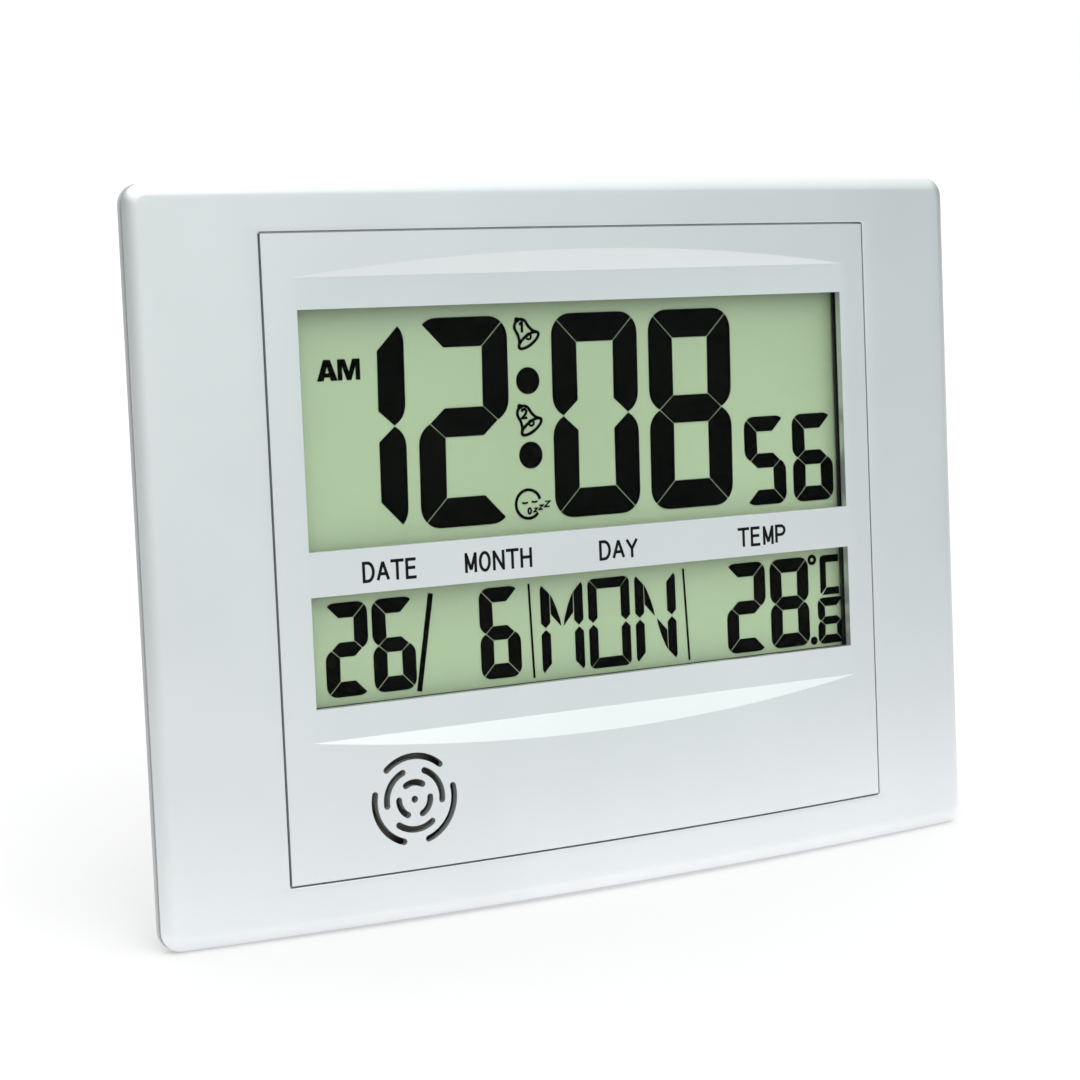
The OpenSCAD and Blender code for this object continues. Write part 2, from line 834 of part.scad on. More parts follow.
module lcd_bracket() {
    color(dark_grey)
        stand()
            difference() {
                along_y(lip_y, board_y) rounded_rect(bracket_w, bracket_h, bracket_wall, bracket_bottom);
                along_y(lip_y - eps, board_y)
                    rect(window_w, time_top - date_bottom, date_bottom);
                along_y(front_glass_y, board_y + eps)
                    rect(
                        glass_w + 2 * glass_play,
                        front_glass_h + 2 * glass_play,
                        front_glass_bottom - glass_play
                    );
            }
}

module lcd_front_glass() {
    color([0.85, 0.9, 0.88, 0.3])
        stand()
            along_y(front_glass_y, cell_y) rect(glass_w, front_glass_h, front_glass_bottom);
}

module lcd_rear_glass() {
    color(lcd_green)
        stand()
            along_y(rear_glass_y, reflector_y) rect(glass_w, rear_glass_h, rear_glass_bottom);
}

module lcd_reflector() {
    color(steel)
        stand()
            along_y(reflector_y, reflector_y + reflector_t) rect(glass_w, rear_glass_h, rear_glass_bottom);
}

// Points of a round from angle a0 to a1
function round_points(centre, r, a0, a1, steps = 4) = [
    for (i = [0:steps]) let (a = a0 + (a1 - a0) * i / steps) centre + r * [cos(a), sin(a)]
];
function reversed(list) = [for (i = [len(list) - 1:-1:0]) list[i]];
function mirrored(list, sx, sz) =
    let (flipped = [for (p = list) [sx * p[0], sz * p[1]]])
    sx * sz < 0 ? reversed(flipped) : flipped;

// Outlines of the top, upper left and middle segment of a digit centred on the origin
function outer_round(stroke) = round_share * stroke;
function waist(stroke) = waist_share * stroke;
function top_segment(w, h, s) =
    let (
        r = outer_round(s),
        gap = segment_gap / 2 * [1, 1] / sqrt(2),
        trim = segment_gap / 2 / r * 180 / PI,
        left = concat(
            [[-w / 2 + s, h / 2 - s] + gap],
            round_points([-w / 2 + r, h / 2 - r], r, 135 - trim, 90)
        )
    )
    concat(left, mirrored(left, -1, 1));
function upper_left_segment(w, h, s) =
    let (
        r = outer_round(s),
        gap = segment_gap / 2 * [1, 1] / sqrt(2),
        trim = segment_gap / 2 / r * 180 / PI,
        turn = acos(1 - waist(s) / r),
        low = segment_gap / 2
    )
    concat(
        [[-w / 2 + s, h / 2 - s] - gap],
        round_points([-w / 2 + r, h / 2 - r], r, 135 + trim, 180),
        round_points([-w / 2 + r, low + r * sin(turn)], r, 180, 180 + turn),
        [[-w / 2 + s, s / 2 + low]]
    );
function middle_segment(w, h, s) =
    let (left = [
        [-w / 2 + s, -s / 2 + segment_gap / 2],
        [-w / 2 + waist(s) + segment_gap, 0],
        [-w / 2 + s, s / 2 - segment_gap / 2]
    ])
    concat(left, mirrored(left, -1, 1));
function segment(i, w, h, s) =
    i == 0 ? top_segment(w, h, s)
    : i == 1 ? mirrored(upper_left_segment(w, h, s), -1, 1)
    : i == 2 ? mirrored(upper_left_segment(w, h, s), -1, -1)
    : i == 3 ? mirrored(top_segment(w, h, s), 1, -1)
    : i == 4 ? mirrored(upper_left_segment(w, h, s), 1, -1)
    : i == 5 ? upper_left_segment(w, h, s)
    : middle_segment(w, h, s);
function slanted(points, slant) = [for (p = points) [p[0] + p[1] * tan(slant), p[1]]];

// One digit with its centre at x, of a kind that gives lower end, width, height, stroke and slant
module digit(number, x, kind) {
    for (i = [0:6])
        if (LIT[number][i] == 1)
            translate([x, kind[0] + kind[2] / 2])
                polygon(slanted(segment(i, kind[1], kind[2], kind[3]), kind[4]));
}

module lcd_segments() {
    color(ink)
        stand()
            along_y(cell_y, rear_glass_y) {
                for (shown = DIGITS) digit(shown[0], shown[1], shown[2]);
                for (side = [-1, 1])
                    translate([colon_x, colon_z + side * colon_step / 2]) circle(d = colon_d);
            }
}

module contact_strips() {
    slack = (glass_ledge - strip_t) / 2;
    color([0.85, 0.55, 0.6])
        stand()
            along_y(cell_y, board_y) {
                rect(strip_l, strip_t, front_glass_bottom + slack);
                rect(strip_l, strip_t, rear_glass_bottom + rear_glass_h + slack);
            }
}

// Board

module main_board() {
    color(board_green)
        stand()
            difference() {
                along_y(board_y, board_back) rounded_rect(board_w, board_h, board_corner_r, board_bottom);
                for (at = board_screw_at)
                    translate([at[0], 0, at[1]])
                        rod_y(board_screw_d + 2 * board_hole_play, board_y - eps, board_back + eps);
            }
}

// The resin drop is a low dome
module chip_cap() {
    drop_r = (pow(chip_d / 2, 2) + pow(chip_h, 2)) / (2 * chip_h);
    color(ink)
        stand()
            translate([chip_at[0], board_back, chip_at[1]])
                rotate([-90, 0, 0])
                    rotate_extrude()
                        intersection() {
                            translate([0, chip_h - drop_r]) circle(r = drop_r, $fn = 180);
                            square([chip_d, chip_h]);
                        }
}

module watch_crystal() {
    color(steel)
        stand()
            translate([crystal_at[0], board_back + crystal_d / 2, crystal_at[1]]) {
                cylinder(d = crystal_d, h = crystal_l);
                translate([0, 0, -crystal_d / 2]) cylinder(d = crystal_d / 1.3, h = crystal_d);
            }
}

module temperature_sensor() {
    color([0.2, 0.2, 0.22])
        stand()
            translate([vent_x + vent_step * (vent_count - 1) / 2, board_back, vent_z + vent_h / 2]) {
                translate([0, bead_lead_l, 0]) sphere(d = bead_d);
                for (side = [-1, 1])
                    translate([side * bead_lead_gap / 2, 0, 0]) rod_y(bead_lead_d, 0, bead_lead_l);
            }
}

module board_components() {
    color([0.25, 0.22, 0.2])
        stand()
            translate([0, board_back, 0]) {
                translate([capacitor_at[0], 0, capacitor_at[1]]) rod_y(capacitor_d, 0, capacitor_h);
                for (at = chips_at, i = [0:chip_count - 1])
                    translate([at[0] + i * chip_step, 0, at[1]]) cube([chip_l, chip_t, chip_w]);
            }
}

// A cross-recessed screw along Y, with the underside of its head at Y = 0
module screw(shank_d, shank_l, head_d, head_h) {
    cross_w = shank_d / 3;
    cross_l = shank_d;
    difference() {
        union() {
            rod_y(shank_d, -shank_l, eps / 2);
            rod_y(head_d, 0, head_h);
        }
        for (turn = [0, 90])
            rotate([0, turn, 0])
                block([-cross_l / 2, head_h / 2, -cross_w / 2], [cross_l / 2, head_h + eps, cross_w / 2]);
    }
}

module board_screws() {
    color(steel)
        stand()
            for (at = board_screw_at)
                translate([at[0], board_back, at[1]])
                    screw(board_screw_d, board_screw_l, board_head_d, board_head_h);
}

// Switches and buttons

function button_at(i) = [-button_x, 0, button_z + i * button_step];

module switch_bodies() {
    color(dark_grey)
        stand()
            for (i = [0:len(button_names) - 1])
                translate(button_at(i))
                    difference() {
                        along_y(board_back, switch_top) rect(switch_w, switch_w, -switch_w / 2);
                        rod_y(
                            plunger_d + 2 * plunger_gap,
                            switch_top - plunger_depth - button_travel - 2 * plunger_gap,
                            switch_top + eps
                        );
                    }
}

module plunger(i) {
    color([0.1, 0.1, 0.1])
        stand()
            translate(button_at(i)) rod_y(plunger_d, switch_top - plunger_depth, switch_top + plunger_proud);
}

// A turned cap with a retaining flange inside the cover and a stem that presses the plunger
module button(i) {
    flange_back = inner_back - button_gap;
    top = housing_depth + button_proud;
    color(dark_grey)
        stand()
            translate(button_at(i))
                rotate([-90, 0, 0])
                    rotate_extrude()
                        difference() {
                            union() {
                                translate([0, switch_top + plunger_proud + press_gap])
                                    square([button_stem_d / 2, flange_back - switch_top - plunger_proud]);
                                translate([0, flange_back - button_flange_t])
                                    square([button_d / 2 + button_flange_w, button_flange_t]);
                                translate([0, flange_back - eps / 2])
                                    square([button_d / 2, top - flange_back + eps / 2]);
                            }
                            corner_cut([button_d / 2, top], [-1, 0], [0, -1], button_round);
                        }
}

module mode_plunger() { plunger(4); }
module set_plunger() { plunger(3); }
module up_plunger() { plunger(2); }
module down_plunger() { plunger(1); }
module alarm_plunger() { plunger(0); }
module mode_button() { button(4); }
module set_button() { button(3); }
module up_button() { button(2); }
module down_button() { button(1); }
module alarm_button() { button(0); }

// Buzzer

module buzzer_disc() {
    color(brass)
        stand()
            translate([-speaker_x, 0, speaker_z]) rod_y(buzzer_d, buzzer_y, buzzer_y + buzzer_t);
}

module buzzer_ceramic() {
    color([0.9, 0.9, 0.86])
        stand()
            translate([-speaker_x, 0, speaker_z])
                rod_y(ceramic_d, buzzer_y + buzzer_t, buzzer_y + buzzer_t + ceramic_t);
}

module buzzer_retainer() {
    color(dark_grey)
        stand()
            translate([-speaker_x, buzzer_y + buzzer_t, speaker_z])
                difference() {
                    rod_y(retainer_d, 0, retainer_t);
                    rod_y(retainer_hole_d, -eps, retainer_t + eps);
                }
}

// A round lead through the given points, with ball corners
module lead(points) {
    for (i = [0:len(points) - 2]) {
        step = points[i + 1] - points[i];
        tilt = acos(step[2] / norm(step));
        turn = atan2(step[1], step[0]);
        translate(points[i]) rotate([0, tilt, turn]) cylinder(d = lead_d, h = norm(step), $fn = 24);
    }
    for (i = [1:len(points) - 2]) translate(points[i]) sphere(d = lead_d, $fn = 24);
}

module buzzer_leads() {
    back = board_back + lead_rise;
    pad_z = board_bottom + pad_edge;
    ceramic_back = buzzer_y + buzzer_t + ceramic_t;
    color([0.7, 0.1, 0.08])
        stand()
            for (side = [0, 1]) {
                x = -speaker_x + side * rim_lead_r;
                start = side == 0 ? ceramic_back : buzzer_y + buzzer_t;
                lead([[x, start, speaker_z], [x, back, speaker_z], [x, back, pad_z], [x, board_back, pad_z]]);
            }
}

// Rear cover

// Half section of a housing wall: X out from the corner's centre, Y from start to the back,
// with its rear edge rounded by r
module housing_section(start, wall, r) {
    back = housing_depth - wall;
    slope = housing_draft / housing_depth;
    reach = housing_corner_r - wall;
    corner = [reach - slope * back, back];
    down = [slope, -1] / norm([slope, 1]);
    inward = [-1, 0];
    centre = round_centre(corner, down, inward, r);
    low = corner + down * round_reach(down, inward, r);
    high = corner + inward * round_reach(down, inward, r);
    polygon([[0, start], [reach - slope * start, start], low, high, [0, back]]);
    if (r > 0)
        intersection() {
            translate(centre) circle(r = r);
            polygon([centre, 2 * low - centre, 2 * corner - centre, 2 * high - centre]);
        }
}

// The drafted housing from start to the back, set in by wall: a middle, four sides and four corners
module housing(start, wall, r) {
    x = housing_w / 2 - housing_corner_r;
    low = housing_end + housing_corner_r;
    high = body_h - low;
    block([-x, start, low], [x, housing_depth - wall, high]);
    for (side = [0, 1]) {
        mirror([side, 0, 0])
            translate([x, 0, low]) linear_extrude(high - low) housing_section(start, wall, r);
        translate([0, 0, body_h / 2])
            mirror([0, 0, side])
                translate([x, 0, high - body_h / 2])
                    rotate([0, -90, 0]) linear_extrude(2 * x) housing_section(start, wall, r);
    }
    corners = [[x, high], [x, low], [-x, low], [-x, high]];
    for (i = [0:3])
        translate([corners[i][0], 0, corners[i][1]])
            rotate([-90, 0, 0])
                rotate([0, 0, 90 * (i - 1)]) rotate_extrude(angle = 90) housing_section(start, wall, r);
}

module flange() {
    difference() {
        along_y(0, flange_t) rounded_rect(body_w, body_h, corner_r);
        difference() {
            along_y(-eps, groove_w) rect(body_w + 2 * eps, body_h + 2 * eps, -eps);
            along_y(-2 * eps, groove_w + eps)
                rounded_rect(body_w - 2 * groove_depth, body_h - 2 * groove_depth, corner_r, groove_depth);
        }
    }
}

module recess_block() {
    half = leg_w / 2 + leg_side_gap;
    block(
        [-half - rear_wall, recess_floor - rear_wall, housing_end],
        [half + rear_wall, housing_depth, leg_hinge_z + heel + recess_top_gap + rear_wall]
    );
}

module recess_cut() {
    half = leg_w / 2 + leg_side_gap;
    block([-half, recess_floor, -eps], [half, housing_depth + eps, leg_hinge_z + heel + recess_top_gap]);
    translate([-half - rear_wall - eps, pivot_y, leg_hinge_z])
        rotate([0, 90, 0]) cylinder(r = leg_pin_d / 2 + leg_pin_gap, h = 2 * (half + rear_wall + eps));
}

module keyhole_block() {
    half = keyhole_d / 2 + keyhole_margin + rear_wall;
    block(
        [-half, inner_back - keyhole_room - rear_wall, keyhole_z - half],
        [half, housing_depth - eps / 2, keyhole_z + keyhole_slot + half]
    );
}

module keyhole_cut() {
    half = keyhole_d / 2 + keyhole_margin;
    block(
        [-half, inner_back - keyhole_room, keyhole_z - half],
        [half, inner_back, keyhole_z + keyhole_slot + half]
    );
    translate([0, 0, keyhole_z]) rod_y(keyhole_d, inner_back - eps, housing_depth + eps);
    translate([0, 0, keyhole_z + keyhole_slot]) rod_y(keyhole_slot_w, inner_back - eps, housing_depth + eps);
    block(
        [-keyhole_slot_w / 2, inner_back - eps, keyhole_z],
        [keyhole_slot_w / 2, housing_depth + eps, keyhole_z + keyhole_slot]
    );
}

module battery_block() {
    block(
        [door_left - rear_wall, comp_front - box_wall, housing_end + rear_wall / 2],
        [housing_w / 2, housing_depth, box_bottom + comp_h + rear_wall + runner_w]
    );
}

// Runners and lid of the door in Y and Z, grown by a gap
module door_profile(gap) {
    low = housing_depth - door_t;
    high = housing_depth - door_lid_t;
    translate([low - gap, door_bottom - runner_w - gap])
        square([door_t - door_lid_t + 2 * gap, door_h + 2 * (runner_w + gap)]);
    translate([high, door_bottom - gap]) square([door_lid_t + (gap > 0 ? eps : 0), door_h + 2 * gap]);
}

module battery_cut() {
    block(
        [box_left, comp_front, box_bottom],
        [box_left + comp_w, housing_depth, box_bottom + comp_h]
    );
    along_x(door_left - door_gap, housing_w / 2 + eps) door_profile(door_gap);
    for (y = [tail_y, cell_y0])
        block(
            [box_left + comp_w - plate_t - tail_play, y - tail_play, box_bottom + comp_h - eps],
            [box_left + comp_w, y + tail_w + tail_play, tail_end]
        );
}

module pillar_cut(at) {
    translate([at[0], 0, at[1]]) {
        rod_y(case_screw_d + 2 * head_play, boss_end - eps, case_head_y + eps);
        rod_y(case_head_d + 2 * head_play, case_head_y, housing_depth + eps);
    }
}

module cover_shell() {
    difference() {
        union() {
            flange();
            housing(flange_t / 2, 0, housing_edge_r);
        }
        difference() {
            housing(-eps, rear_wall, 0);
            recess_block();
            keyhole_block();
            battery_block();
            for (at = case_screw_at)
                translate([at[0], 0, at[1]]) rod_y(pillar_d, boss_end, housing_depth);
        }
    }
}

module rear_cover() {
    color(light_grey)
        stand()
            difference() {
                cover_shell();
                recess_cut();
                keyhole_cut();
                battery_cut();
                for (at = case_screw_at) pillar_cut(at);
                for (i = [0:len(button_names) - 1])
                    translate(button_at(i))
                        rod_y(button_d + 2 * button_gap, inner_back - eps, housing_depth + eps);
                for (i = [0:vent_count - 1])
                    translate([vent_x + i * vent_step, 0, vent_z])
                        block([-vent_w / 2, inner_back - eps, 0], [vent_w / 2, housing_depth + eps, vent_h]);
            }
}

module case_screws() {
    color(steel)
        stand()
            for (at = case_screw_at)
                translate([at[0], case_head_y, at[1]])
                    screw(case_screw_d, case_screw_l, case_head_d, case_head_h);
}

// Battery box

// A cell along X from its flat end at x0, with its nub towards direction
module cell(x0, z, direction) {
    translate([x0, cell_y0, z])
        rotate([0, direction * 90, 0]) {
            cylinder(d = cell_d, h = cell_l - nub_l);
            cylinder(d = nub_d, h = cell_l);
        }
}

module battery_cells() {
    color([0.35, 0.36, 0.38])
        stand() {
            cell(right_plate - touch - cell_l, cell_z[0], 1);
            cell(left_plate + touch + cell_l, cell_z[1], -1);
        }
}

module contact_plates() {
    low_y = cell_y0 - plate_w / 2;
    color(steel)
        stand() {
            block(
                [box_left, low_y, cell_z[0] - plate_w / 2],
                [left_plate, low_y + plate_w, cell_z[1] + plate_w / 2]
            );
            for (i = [0, 1]) {
                tail = i == 0 ? tail_y : cell_y0;
                block(
                    [right_plate, low_y, cell_z[i] - plate_w / 2],
                    [right_plate + plate_t, low_y + plate_w, cell_z[i] + plate_w / 2]
                );
                if (i == 0)
                    block(
                        [right_plate, tail_y, cell_z[i] - tail_w / 2],
                        [right_plate + plate_t, low_y + eps / 2, cell_z[i] + tail_w / 2]
                    );
                block([right_plate, tail, cell_z[i]], [right_plate + plate_t, tail + tail_w, tail_end]);
            }
        }
}

// A coil that narrows from its plate to its cell: one tube swept along a helix on X
module coil(length) {
    sides = 6;
    rings = 12 * spring_turns;
    run = length - spring_wire - 2 * touch;
    points = [
        for (i = [0:rings], k = [0:sides - 1])
            let (
                share = i / rings,
                a = 360 * spring_turns * share,
                wire = spring_wire / 2 * [1 + sin(360 * k / sides), cos(360 * k / sides)],
                r = spring_r[0] + (spring_r[1] - spring_r[0]) * share + wire[1]
            )
            [touch + run * share + wire[0], r * cos(a), r * sin(a)]
    ];
    walls = [
        for (i = [0:rings - 1], k = [0:sides - 1])
            let (a = i * sides + k, b = i * sides + (k + 1) % sides)
            each [[a, b, a + sides], [b, b + sides, a + sides]]
    ];
    caps = [
        [for (k = [sides - 1:-1:0]) k],
        [for (k = [0:sides - 1]) rings * sides + k]
    ];
    polyhedron(points, concat(walls, caps));
}

module battery_springs() {
    coil_l = comp_w - 2 * plate_t - touch - cell_l;
    color(steel)
        stand() {
            translate([left_plate, cell_y0, cell_z[0]]) coil(coil_l);
            translate([right_plate, cell_y0, cell_z[1]]) mirror([1, 0, 0]) coil(coil_l);
        }
}

module battery_leads() {
    color([0.12, 0.12, 0.12])
        stand()
            for (i = [0, 1]) {
                tail = i == 0 ? tail_y : cell_y0;
                x = right_plate + plate_t / 2;
                y = tail + tail_w / 2;
                z = tail_end + battery_lead_z + 2 * i * lead_d;
                pad_x = battery_pad_x - i * battery_pad_step;
                run_y = max(y, board_back + lead_rise);
                lead([
                    [x, y, tail_end],
                    [x, y, z],
                    if (run_y > y) [x, run_y, z],
                    [pad_x, run_y, z],
                    [pad_x, board_back, z]
                ]);
            }
}

module battery_door() {
    color(light_grey)
        stand()
            difference() {
                along_x(door_left, door_right) door_profile(0);
                for (i = [0:grip_count - 1])
                    translate([door_left + grip_start + i * grip_step, housing_depth, door_bottom])
                        block([0, -grip_depth, door_h / 4], [grip_w, eps, door_h * 3 / 4]);
            }
}

// Stand leg

// The leg hangs straight down from its pivot at the origin, with its foot cut level with the table
module leg_shape() {
    foot_slope = tan(leg_tilt);
    along_x(-leg_w / 2, leg_w / 2)
        polygon([
            [-leg_face, heel],
            [leg_back, heel],
            [leg_back, -leg_length - leg_back * foot_slope],
            [-leg_face, -leg_length + leg_face * foot_slope]
        ]);
    rotate([0, 90, 0]) translate([0, 0, -leg_w / 2]) cylinder(r = barrel_r, h = leg_w);
    rotate([0, 90, 0])
        translate([0, 0, -leg_w / 2 - leg_side_gap - pin_reach])
            cylinder(d = leg_pin_d, h = leg_w + 2 * (leg_side_gap + pin_reach));
    for (side = [-1, 1])
        translate([side * (leg_w / 2 - rib_inset), 0, 0])
            block([-rib_t / 2, -leg_face - rib_h, -leg_length + rib_short], [rib_t / 2, 0, -barrel_r]);
}

module stand_leg() {
    color(light_grey)
        stand()
            translate([0, pivot_y, leg_hinge_z]) rotate([leg_open, 0, 0]) leg_shape();
}

front_frame();
front_panel();
display_lens();
lcd_bracket();
lcd_front_glass();
lcd_segments();
lcd_rear_glass();
lcd_reflector();
contact_strips();
main_board();
chip_cap();
watch_crystal();
temperature_sensor();
board_components();
board_screws();
switch_bodies();
mode_plunger();
set_plunger();
up_plunger();
down_plunger();
alarm_plunger();
mode_button();
set_button();
up_button();
down_button();
alarm_button();
buzzer_disc();
buzzer_ceramic();
buzzer_retainer();
buzzer_leads();
rear_cover();
case_screws();
battery_cells();
contact_plates();
battery_springs();
battery_leads();
battery_door();
stand_leg();
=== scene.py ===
"""Looks of the digital alarm clock: mouldings, display, materials, light and camera around its CAD frame."""

import json
import math
from collections import Counter

import bmesh
import bpy
from mathutils import Matrix, Vector


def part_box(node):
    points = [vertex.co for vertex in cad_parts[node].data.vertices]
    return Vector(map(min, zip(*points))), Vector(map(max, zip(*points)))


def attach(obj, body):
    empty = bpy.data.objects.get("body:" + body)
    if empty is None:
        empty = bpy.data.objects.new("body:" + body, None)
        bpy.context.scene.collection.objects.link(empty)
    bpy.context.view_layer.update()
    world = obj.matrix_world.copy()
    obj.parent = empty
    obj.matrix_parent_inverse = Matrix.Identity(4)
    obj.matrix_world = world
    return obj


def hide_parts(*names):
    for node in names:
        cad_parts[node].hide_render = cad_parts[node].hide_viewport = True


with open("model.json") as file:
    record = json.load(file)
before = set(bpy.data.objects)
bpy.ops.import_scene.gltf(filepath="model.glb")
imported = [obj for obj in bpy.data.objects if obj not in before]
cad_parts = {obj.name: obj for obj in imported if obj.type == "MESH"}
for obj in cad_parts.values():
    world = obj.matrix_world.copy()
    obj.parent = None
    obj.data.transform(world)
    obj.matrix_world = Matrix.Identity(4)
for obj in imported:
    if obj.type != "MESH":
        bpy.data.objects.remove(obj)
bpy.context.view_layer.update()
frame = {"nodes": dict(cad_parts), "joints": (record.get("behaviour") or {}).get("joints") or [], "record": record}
NODES = frame["nodes"]
JOINTS = {joint["name"]: joint for joint in frame["joints"]}

# Sizes of the upright clock in millimetres, as in its CAD source:
# X to the right, Y to the back, Z up from the lower edge of the case
BODY_W = 260
BODY_H = 194
FACE_BOW = 7.9
CORNER_R = 5.5
EDGE_R = 2.4
RIM_DEPTH = 0.4
RIM_WALL = 2
FRONT_WALL = 2.2
FRAME_SIDE = 34
FRAME_END = 12.8
SEAM = 0.5
LEDGE_W = 2.5
LEDGE_T = 1.8
FLAT_RECESS = 3.6
ZONE_LOW, ZONE_HIGH = 49.7, 169.4
UPPER_RISE = 5.7
LOWER_DROP = 6
WINDOW_HALF = 86.5
DATE_LOW, DATE_HIGH = 58.2, 87.3
TIME_LOW, TIME_HIGH = 99, 161.2
SPEAKER_X, SPEAKER_Z = -60.2, 31.9
SLOTS_PER_RING = 3
SLOT_W = 1.75
SLOT_HOLE_D = 1.9
# Rings of speaker slots: radius, each slot's span and the middle of the first slot in degrees
SLOT_RINGS = [(11.5, 84, 90), (8, 74, 150), (4.5, 64, 90)]
# The stand leg's hinge
HINGE = Vector((0, 16, 100))

# Sizes that only the looks have: the frame's soft bevel, its groove beside the rear cover, rounded edges,
# the layer of ink between the glasses and the print on the panel
EDGE_IN = 3.4
EDGE_DEPTH = 1.9
EDGE_FLATNESS = 1.4
GROOVE_W = 0.8
GROOVE_DEPTH = 0.5
OPENING_R = 0.6
OPENING_ROUND = 0.35
PANEL_SOFT_EDGE = 0.25
INK_FRONT, INK_BACK = -2.19, -2.06
PRINT_RISE, PRINT_ROOT = 0.03, 0.05

FACE_R = ((BODY_W / 2) ** 2 + FACE_BOW**2) / (2 * FACE_BOW)
CROWN_Y = -(RIM_DEPTH + EDGE_R + FACE_BOW)
FLAT_Y = CROWN_Y + FLAT_RECESS
PANEL_HALF = BODY_W / 2 - FRAME_SIDE
TIP_X = math.sqrt(FACE_R**2 - (FACE_R - FLAT_RECESS) ** 2)

# The standing clock leans back: the frame's joints give its lean and its place
PRESS = JOINTS["mode_press"]["axis"]
LEAN = math.atan2(PRESS[2], -PRESS[1])
TURN = Matrix.Rotation(-LEAN, 4, "X")
SHIFT = Vector(JOINTS["leg_hinge"]["pos_m"]) - TURN @ (HINGE / 1000)
STAND = Matrix.Translation(SHIFT) @ TURN @ Matrix.Scale(0.001, 4)


def face_y(x):
    """Depth of the bowed front face at x."""
    return CROWN_Y + FACE_R - math.sqrt(FACE_R**2 - x * x)


# Materials


def linear(red, green, blue):
    """Linear colour of a screen colour from 0 to 255."""
    def channel(value):
        value /= 255
        return value / 12.92 if value <= 0.04045 else ((value + 0.055) / 1.055) ** 2.4

    return (channel(red), channel(green), channel(blue), 1)


class Material:
    """A node material on one principled shader, with helpers for the textures used here."""

    def __init__(self, name):
        self.data = bpy.data.materials.new(name)
        self.data.use_nodes = True
        self.nodes = self.data.node_tree.nodes
        self.links = self.data.node_tree.links
        self.shader = self.nodes["Principled BSDF"]
        self.place = self.add("ShaderNodeTexCoord").outputs["Object"]

    def add(self, kind, **settings):
        """A new node; a setting is one of its properties, or else the value of an input."""
        node = self.nodes.new(kind)
        for key, value in settings.items():
            if hasattr(node, key):
                setattr(node, key, value)
            else:
                node.inputs[key].default_value = value
        return node

    def link(self, output, target):
        self.links.new(output, target)

    def set(self, **values):
        """Values of the shader's inputs, with _ for each space in their names."""
        for key, value in values.items():
            self.shader.inputs[key.replace("_", " ")].default_value = value

    def noise(self, size_mm, detail=3.0):
        """Noise in the object's space with features of about this size."""
        node = self.add("ShaderNodeTexNoise", Scale=1000 / size_mm, Detail=detail)
        self.link(self.place, node.inputs["Vector"])
        return node.outputs["Fac"]

    def ramp(self, value, stops):
        """Colour that a value picks between (position, colour) stops."""
        node = self.add("ShaderNodeValToRGB")
        elements = node.color_ramp.elements
        while len(elements) < len(stops):
            elements.new(1)
        for element, (position, colour) in zip(elements, stops):
            element.position = position
            element.color = colour
        self.link(value, node.inputs["Fac"])
        return node.outputs["Color"]

    def colour(self, value, stops):
        self.link(self.ramp(value, stops), self.shader.inputs["Base Color"])

    def roughness(self, value, low, high):
        node = self.add("ShaderNodeMapRange")
        node.inputs["To Min"].default_value = low
        node.inputs["To Max"].default_value = high
        self.link(value, node.inputs["Value"])
        self.link(node.outputs["Result"], self.shader.inputs["Roughness"])

    def bump(self, height, depth_mm, strength, edge_mm=0):
        """Fine relief, and with edge_mm also edges that shade as if rounded."""
        node = self.add("ShaderNodeBump", Strength=strength, Distance=depth_mm / 1000)
        self.link(height, node.inputs["Height"])
        if edge_mm:
            edge = self.add("ShaderNodeBevel", samples=4, Radius=edge_mm / 1000)
            self.link(edge.outputs["Normal"], node.inputs["Normal"])
        self.link(node.outputs["Normal"], self.shader.inputs["Normal"])


def moulded(
    name, dark, light, rough, grain_mm, grain_depth, edge_mm=0.0, patch_mm=25, metallic=0.0, gloss=0.5
):
    """A moulded or painted surface: slow shade changes, a fine grain, uneven gloss."""
    material = Material(name)
    patches = material.noise(patch_mm)
    grain = material.noise(grain_mm, detail=2.0)
    uneven = 0.05
    material.colour(patches, [(0.35, linear(*dark)), (0.65, linear(*light))])
    material.roughness(grain, low=rough - uneven, high=rough + uneven)
    material.bump(grain, grain_depth, strength=0.6, edge_mm=edge_mm)
    material.set(Metallic=metallic, Specular_IOR_Level=gloss)
    return material.data


def brushed(name, dark, light, rough):
    """Plated or rolled metal with fine drawn lines."""
    material = Material(name)
    stretch = material.add("ShaderNodeMapping")
    stretch.inputs["Scale"].default_value = (0.1, 1, 1)
    material.link(material.place, stretch.inputs["Vector"])
    drawn = material.add("ShaderNodeTexNoise", Scale=6000, Detail=2)
    material.link(stretch.outputs["Vector"], drawn.inputs["Vector"])
    lines = drawn.outputs["Fac"]
    material.colour(lines, [(0.3, linear(*dark)), (0.7, linear(*light))])
    material.roughness(lines, low=rough - 0.08, high=rough + 0.1)
    material.bump(lines, depth_mm=0.005, strength=0.5)
    material.set(Metallic=1.0)
    return material.data


def clear(name, tint, alpha):
    """A clear sheet with faint polishing marks."""
    material = Material(name)
    marks = material.noise(size_mm=6)
    paler = [part + 6 for part in tint]
    material.colour(marks, [(0.4, linear(*tint)), (0.6, linear(*paler))])
    material.roughness(marks, low=0.04, high=0.09)
    material.set(Alpha=alpha)
    return material.data


def display_green():
    """The polariser: a grey-green film with a slow change of shade and a very fine tooth."""
    material = Material("lcd_green")
    slow = material.noise(size_mm=90, detail=1.0)
    tooth = material.noise(size_mm=0.4, detail=1.0)
    material.colour(slow, [(0.3, linear(163, 186, 149)), (0.7, linear(170, 193, 156))])
    material.roughness(tooth, low=0.4, high=0.5)
    material.bump(tooth, depth_mm=0.004, strength=0.3)
    return material.data


